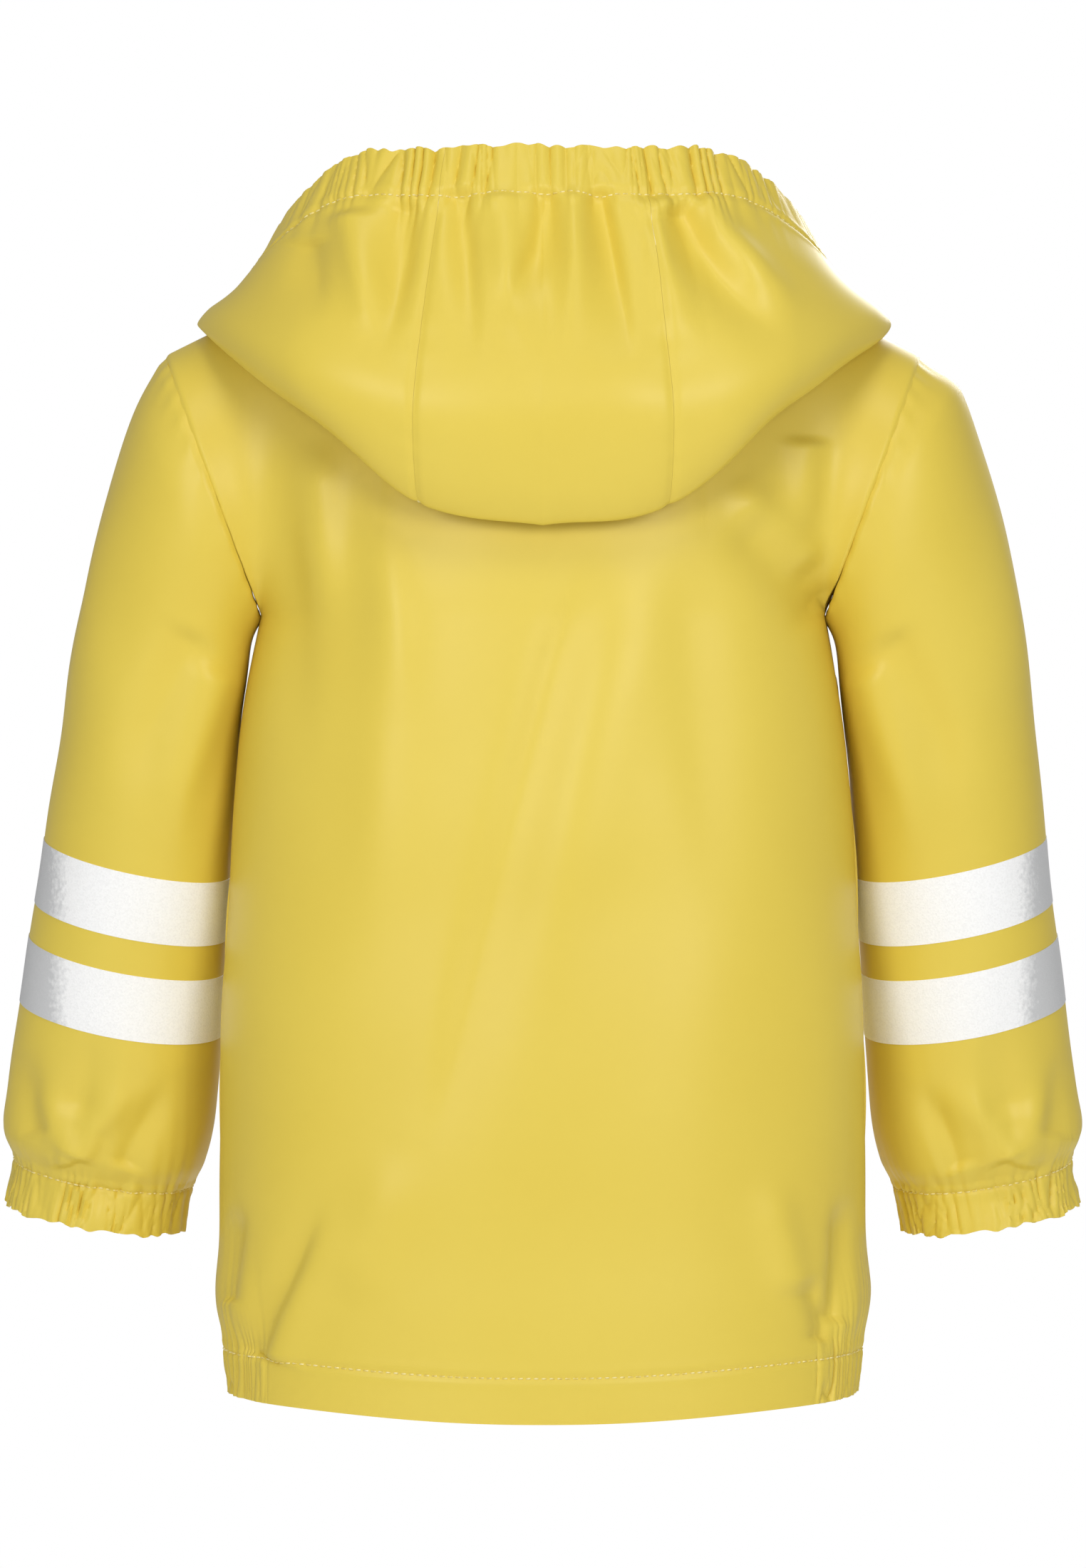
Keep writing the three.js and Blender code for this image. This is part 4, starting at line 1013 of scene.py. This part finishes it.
for side, sign in SIDES:
    d, t = np.meshgrid(np.linspace(-0.046, 0.046, 9), np.linspace(0, 1, 60))
    s = lerp(0.97, NECK_SHARE + 0.03, t)
    face_u = s if sign > 0 else 1 - s
    back_u = (1 - s) / 2 if sign > 0 else (1 + s) / 2
    on_back = back.at(back_u, 1 - np.maximum(d, 0) / 2)
    on_front = fronts[side].at(face_u, 1 - np.maximum(-d, 0) / 2)
    p, n = joined(d, on_back, on_front)
    p[..., 2] -= 1.0
    p, n = outward(p, n, sign)
    tape_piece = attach(shell(f"shoulder_tape_{side}", p, n, [seam_tape], thick=0.3, off=-0.7), "torso")
    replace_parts(tape_piece, f"shoulder_seam_tape_{side}")

# The loop that the jacket hangs by: a folded strap with a row of stitches down each edge.
loop_half = [(-13, 481), (-13, 490), (-13, 498.6), (-12.3, 500.8), (-10, 501.9)]
loop_path = [*loop_half, (0, 502), *[(-x, z) for x, z in reversed(loop_half)]]
loop_at = np.linspace(0, len(loop_path) - 1, 61)
loop_line = through([(k, *at) for k, at in enumerate(loop_path)], loop_at)
loop_out = unit(np.stack([np.gradient(-loop_line[:, 1]), np.gradient(loop_line[:, 0])], axis=-1))
loop_rows = np.linspace(-2.5, 2.5, 9)
rise = 0.12 * np.cos(loop_rows * math.pi / 2.5)[:, None] + 0.06 * np.sin(np.arange(61) / 2.2)[None, :]
lx = loop_line[None, :, 0] + loop_out[None, :, 0] * rise
lz = loop_line[None, :, 1] + loop_out[None, :, 1] * rise
p = points(lx, 42 + loop_rows[:, None], lz)
n = points(loop_out[None, :, 0] + 0 * rise, 0, loop_out[None, :, 1] + 0 * rise)
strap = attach(shell("loop_strap", p, n, CLOTH, thick=1.5), "torso")
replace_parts(strap, "hanger_loop")
runs = [(p[k] + n[k] * 0.78, n[k]) for k in (1, 7)]
sewing = sewn(stitches("loop_stitches", runs, thread, length=1.8, radius=0.22), "torso")

u, v = np.meshgrid(np.linspace(-9, 9, 25), np.linspace(453, 479, 33))
bow = 0.35 * np.sin((v - 453) / 26 * math.pi) + 0.12 * np.sin(u / 3.1 + v / 7)
p = points(u, 44.4 + bow, v)
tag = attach(shell("label_cloth", p, grid_normals(p, False), [label_satin], thick=0.35), "torso")
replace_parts(tag, "care_label")

# ------------------------------------------------------------------ front: zip tapes, storm flap, pockets

LEAN = math.atan(FRONT_LEAN)
ZIP_DEPTH = 2.6  # the tapes lie this far behind the middle of the fronts


def in_zip_frame(x, y, z):
    """A point given in the leaning frame of the zip, with its foot at the hem and -y out."""
    c, s = math.cos(LEAN), math.sin(LEAN)
    return points(x, y * c + z * s - HEM_FRONT, z * c - y * s)


for side, sign in SIDES:
    u, v = np.meshgrid(np.linspace(3.65, 14.55, 15) * sign, np.linspace(9.2, 452.8, 260))
    ripple = 0.10 * np.sin(v / 5.2 + sign) * np.sin((np.abs(u) - 3.6) / 11 * math.pi)
    corded = 0.08 * np.exp(-((np.abs(u) - 12.2) ** 2))
    p = in_zip_frame(u, ZIP_DEPTH - ripple - corded, v)
    p, n = outward(p, grid_normals(p, False) * sign, sign)
    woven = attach(shell(f"zip_tape_woven_{side}", p, n, [zip_tape], thick=0.7), "torso")
    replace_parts(woven, f"zip_tape_{side}")

FLAP_FREE, FLAP_SEWN, FLAP_FOOT, FLAP_TOP = -29, 27, 30, 411
# How far out the flap lies, at each -x.
FLAP_RISE = [(-27, 2.2), (-15, 5), (0, 6.4), (13, 5.3), (27, 5.3), (29, 5.3)]
FLAP_STITCHED = (-24.5, 23.5)
SNAP_X, SNAPS = -20, np.linspace(60, 342, 4)


def storm_surface(u, v):
    x = lerp(FLAP_FREE, FLAP_SEWN, u)
    return in_zip_frame(x, -through(FLAP_RISE, -x)[..., 0], lerp(FLAP_FOOT, FLAP_TOP, v))


def shape_storm(p, n, u, v):
    x, z = lerp(FLAP_FREE, FLAP_SEWN, u), lerp(FLAP_FOOT, FLAP_TOP, v)
    free = smooth(-x, -18, 24)
    rise = 0.35 * free * (np.sin(z / 27 + 0.8 * np.sin(z / 61)) + 0.6 * np.sin(z / 13.7 + x / 11))
    for at in SNAPS:  # each press stud holds the cloth in a shallow dish
        away = np.hypot(x - SNAP_X, z - at)
        rise = rise * (1 - np.exp(-((away / 11) ** 2))) - 0.15 * np.exp(-((away / 8.5) ** 2))
    for at, depth in zip(FLAP_STITCHED, (0.3, 0.4)):
        rise = rise + sewn_line(x - at, depth)
    rise = rise + 0.25 * waves(p, 61, (60, 40)) * free
    return p + n * np.clip(rise, -0.5, 1.5)[..., None]


storm = Cloth(storm_surface, np.linspace(0, 1, 85), np.linspace(0, 1, 400), shape_storm)
storm_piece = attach(shell("storm_flap_cloth", storm.p, storm.n, CLOTH, thick=1.9), "storm_flap")
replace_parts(storm_piece, "storm_flap")
line = np.linspace(0.006, 0.994, 500)
sides = [(x - FLAP_FREE) / (FLAP_SEWN - FLAP_FREE) for x in FLAP_STITCHED]
runs = [storm.at(np.full_like(line, at), line, 1.0) for at in sides]
edge = np.linspace(0.09, 0.93, 60)
runs += [storm.at(edge, np.full_like(edge, at), 1.0) for at in (0.012, 0.988)]
sewn(stitches("storm_flap_stitches", runs, thread), "storm_flap")

# Each runs from s to s across a front, and from v to v up it.
POCKET = (0.2, 0.56, 62 / (2 * ARMPIT_Z), 152 / (2 * ARMPIT_Z))
FLAP = (0.188, 0.572, 132 / (2 * ARMPIT_Z), 170 / (2 * ARMPIT_Z))
BULGE = 12.0  # how far a pocket's middle stands off the front
SEWN_OFF = 1.5  # how far its sewn edges do


def share_of(patch_box, s, v):
    """How far a place is across and up a pocket or its flap, each from 0 to 1."""
    low, high, foot, top = patch_box
    return np.clip((s - low) / (high - low), 0, 1), np.clip((v - foot) / (top - foot), 0, 1)


def pocket_lift(s, v):
    a, b = share_of(POCKET, s, v)
    crown = np.sin(math.pi * a) ** 0.8 * np.sin(math.pi / 2 * (0.12 + 0.88 * b))
    soft = 0.5 * np.sin(a * 9 + b * 5) + 0.35 * np.sin(a * 17 - b * 9 + 1) + 0.3 * np.sin(b * 21 + a * 4)
    inner = np.sin(math.pi * a) * np.sin(math.pi * b)
    return SEWN_OFF + (BULGE - SEWN_OFF) * crown + inner * soft


def flap_lift(s, v):
    a, b = share_of(FLAP, s, v)
    over = SEWN_OFF + BULGE * np.sin(math.pi * a) ** 0.6
    lift = lerp(over + 1.9, SEWN_OFF, smooth(b, 0.5, 1))
    return lift + 0.3 * np.sin(a * 15 + 1) * np.exp(-b * 2)


def patch(cloth, sign, low, high, foot, top, lift, columns, rows):
    """The points of a piece that stands off a front by lift, over part of the front's width and height."""
    s, v = np.meshgrid(np.linspace(low, high, columns), np.linspace(foot, top, rows))
    if sign < 0:
        s = s[:, ::-1]
    return cloth.at(s if sign > 0 else 1 - s, v, lift(s, v))[0]


def on_grid(p, i, j, lift):
    """Points and normals along a grid at fractions i of its columns and j of its rows."""
    n = grid_normals(p, False)
    rows, cols = p.shape[:2]
    a, b = np.clip(i, 0, 1) * (cols - 1), np.clip(j, 0, 1) * (rows - 1)
    x, y = np.minimum(a.astype(int), cols - 2), np.minimum(b.astype(int), rows - 2)
    f, g = (a - x)[..., None], (b - y)[..., None]

    def blend(t):
        return lerp(lerp(t[y, x], t[y, x + 1], f), lerp(t[y + 1, x], t[y + 1, x + 1], f), g)

    normal = unit(blend(n))
    return blend(p) + normal * lift, normal


for side, sign in SIDES:
    p = patch(fronts[side], sign, *POCKET, pocket_lift, 90, 90)
    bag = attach(shell(f"pocket_cloth_{side}", p, grid_normals(p, False), CLOTH, thick=0.9), "torso")
    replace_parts(bag, f"pocket_{side}")
    line = np.linspace(0.03, 0.97, 200)
    still = np.full_like(line, 0.035)
    runs = [
        on_grid(p, still, line, 0.5),
        on_grid(p, 1 - still, line, 0.5),
        on_grid(p, line, still, 0.5),
        on_grid(p, line, np.full_like(line, 0.86), 0.5),
    ]
    sewn(stitches(f"pocket_stitches_{side}", runs, thread), "torso")

    p = patch(fronts[side], sign, *FLAP, flap_lift, 90, 50)
    flap = shell(f"pocket_flap_cloth_{side}", p, grid_normals(p, False), CLOTH, thick=0.9)
    runs = [
        on_grid(p, line * 0 + 0.05, line * 0.9 + 0.06, 0.5),
        on_grid(p, 1 - (line * 0 + 0.05), line * 0.9 + 0.06, 0.5),
        on_grid(p, line, line * 0 + 0.1, 0.5),
        on_grid(p, line, line * 0 + 0.95, 0.5),
    ]
    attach(flap, f"{side}_pocket_flap")
    sewn(stitches(f"pocket_flap_stitches_{side}", runs, thread), f"{side}_pocket_flap")
    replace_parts(flap, f"pocket_flap_{side}")

# ------------------------------------------------------------------ stitching of the body's hem

line = np.linspace(0.004, 0.996, 700)
runs = [back.at(line, HEM_LINE, THICK / 2)]
for side, sign in SIDES:
    line = np.linspace(0.03, 0.996, 320)
    runs.append(fronts[side].at(line if sign > 0 else 1 - line, HEM_LINE, THICK / 2))
sewn(stitches("hem_stitches", runs, thread), "torso")

# ------------------------------------------------------------------ hardware that keeps its CAD shape


def finish_cad(material, *starts):
    """Gives a material to the CAD nodes whose names start so."""
    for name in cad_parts:
        if name.startswith(starts):
            mesh = bpy.data.objects[name].data
            mesh.materials.clear()
            mesh.materials.append(material)


finish_cad(zip_plastic, "zip_teeth", "zip_top_stop", "zip_bottom")
finish_cad(nickel, "zip_slider", "zip_puller", "storm_snap")

# ------------------------------------------------------------------ floor, light and camera

lowest = float(cad_box[0][2])
bpy.ops.mesh.primitive_circle_add(vertices=96, radius=5.0, fill_type="NGON", location=(0, 0, lowest - 0.5))
floor = bpy.context.object
floor.name = "floor_board"
floor.data.materials.append(make_floor())


def softbox(name, place, aim, size, power):
    light = bpy.data.lights.new(name, "AREA")
    light.shape = "DISK"
    light.size = size
    light.energy = power
    lamp = bpy.data.objects.new(name, light)
    lamp.location = place
    lamp.rotation_euler = (Vector(aim) - Vector(place)).to_track_quat("-Z", "Y").to_euler()
    bpy.context.scene.collection.objects.link(lamp)


middle_z = (277.0 - ORIGIN[2]) * 0.001
centre = (0, 0, middle_z)
softbox("left_softbox", (0.95, 2.3, middle_z + 0.55), centre, 0.8, 16)
softbox("right_softbox", (-0.95, 2.3, middle_z + 0.55), centre, 0.8, 16)
softbox("top_softbox", (0.0, 1.3, middle_z + 1.8), centre, 0.7, 7)
softbox("front_softbox", (-0.8, -2.6, middle_z + 1.3), centre, 1.6, 40)

world = bpy.data.worlds.new("white_studio")
world.use_nodes = True
tree = world.node_tree
seen = node(tree, "ShaderNodeLightPath").outputs["Is Camera Ray"]
level = node(tree, "ShaderNodeMapRange", {"Value": seen, "To Min": 0.38, "To Max": 1.0})
tree.nodes["Background"].inputs["Color"].default_value = (1, 1, 1, 1)
tree.links.new(level.outputs["Result"], tree.nodes["Background"].inputs["Strength"])
bpy.context.scene.world = world
bpy.context.scene.view_settings.view_transform = "Standard"

FAR = 9.0  # metres: a long lens, so the jacket's near and far parts keep almost the same scale
SEEN_HEIGHT = 0.682  # metres of the jacket's plane from the top of the picture to its foot
camera = bpy.data.cameras.new("studio_camera")
camera.sensor_width = 36
camera.lens = 36 * FAR / SEEN_HEIGHT
camera.clip_end = 40
camera_object = bpy.data.objects.new("studio_camera", camera)
camera_object.location = (0, FAR + 0.025 - 0.042, middle_z)
camera_object.rotation_euler = (math.pi / 2, 0, math.pi)
bpy.context.scene.collection.objects.link(camera_object)
bpy.context.scene.camera = camera_object

bpy.context.view_layer.update()
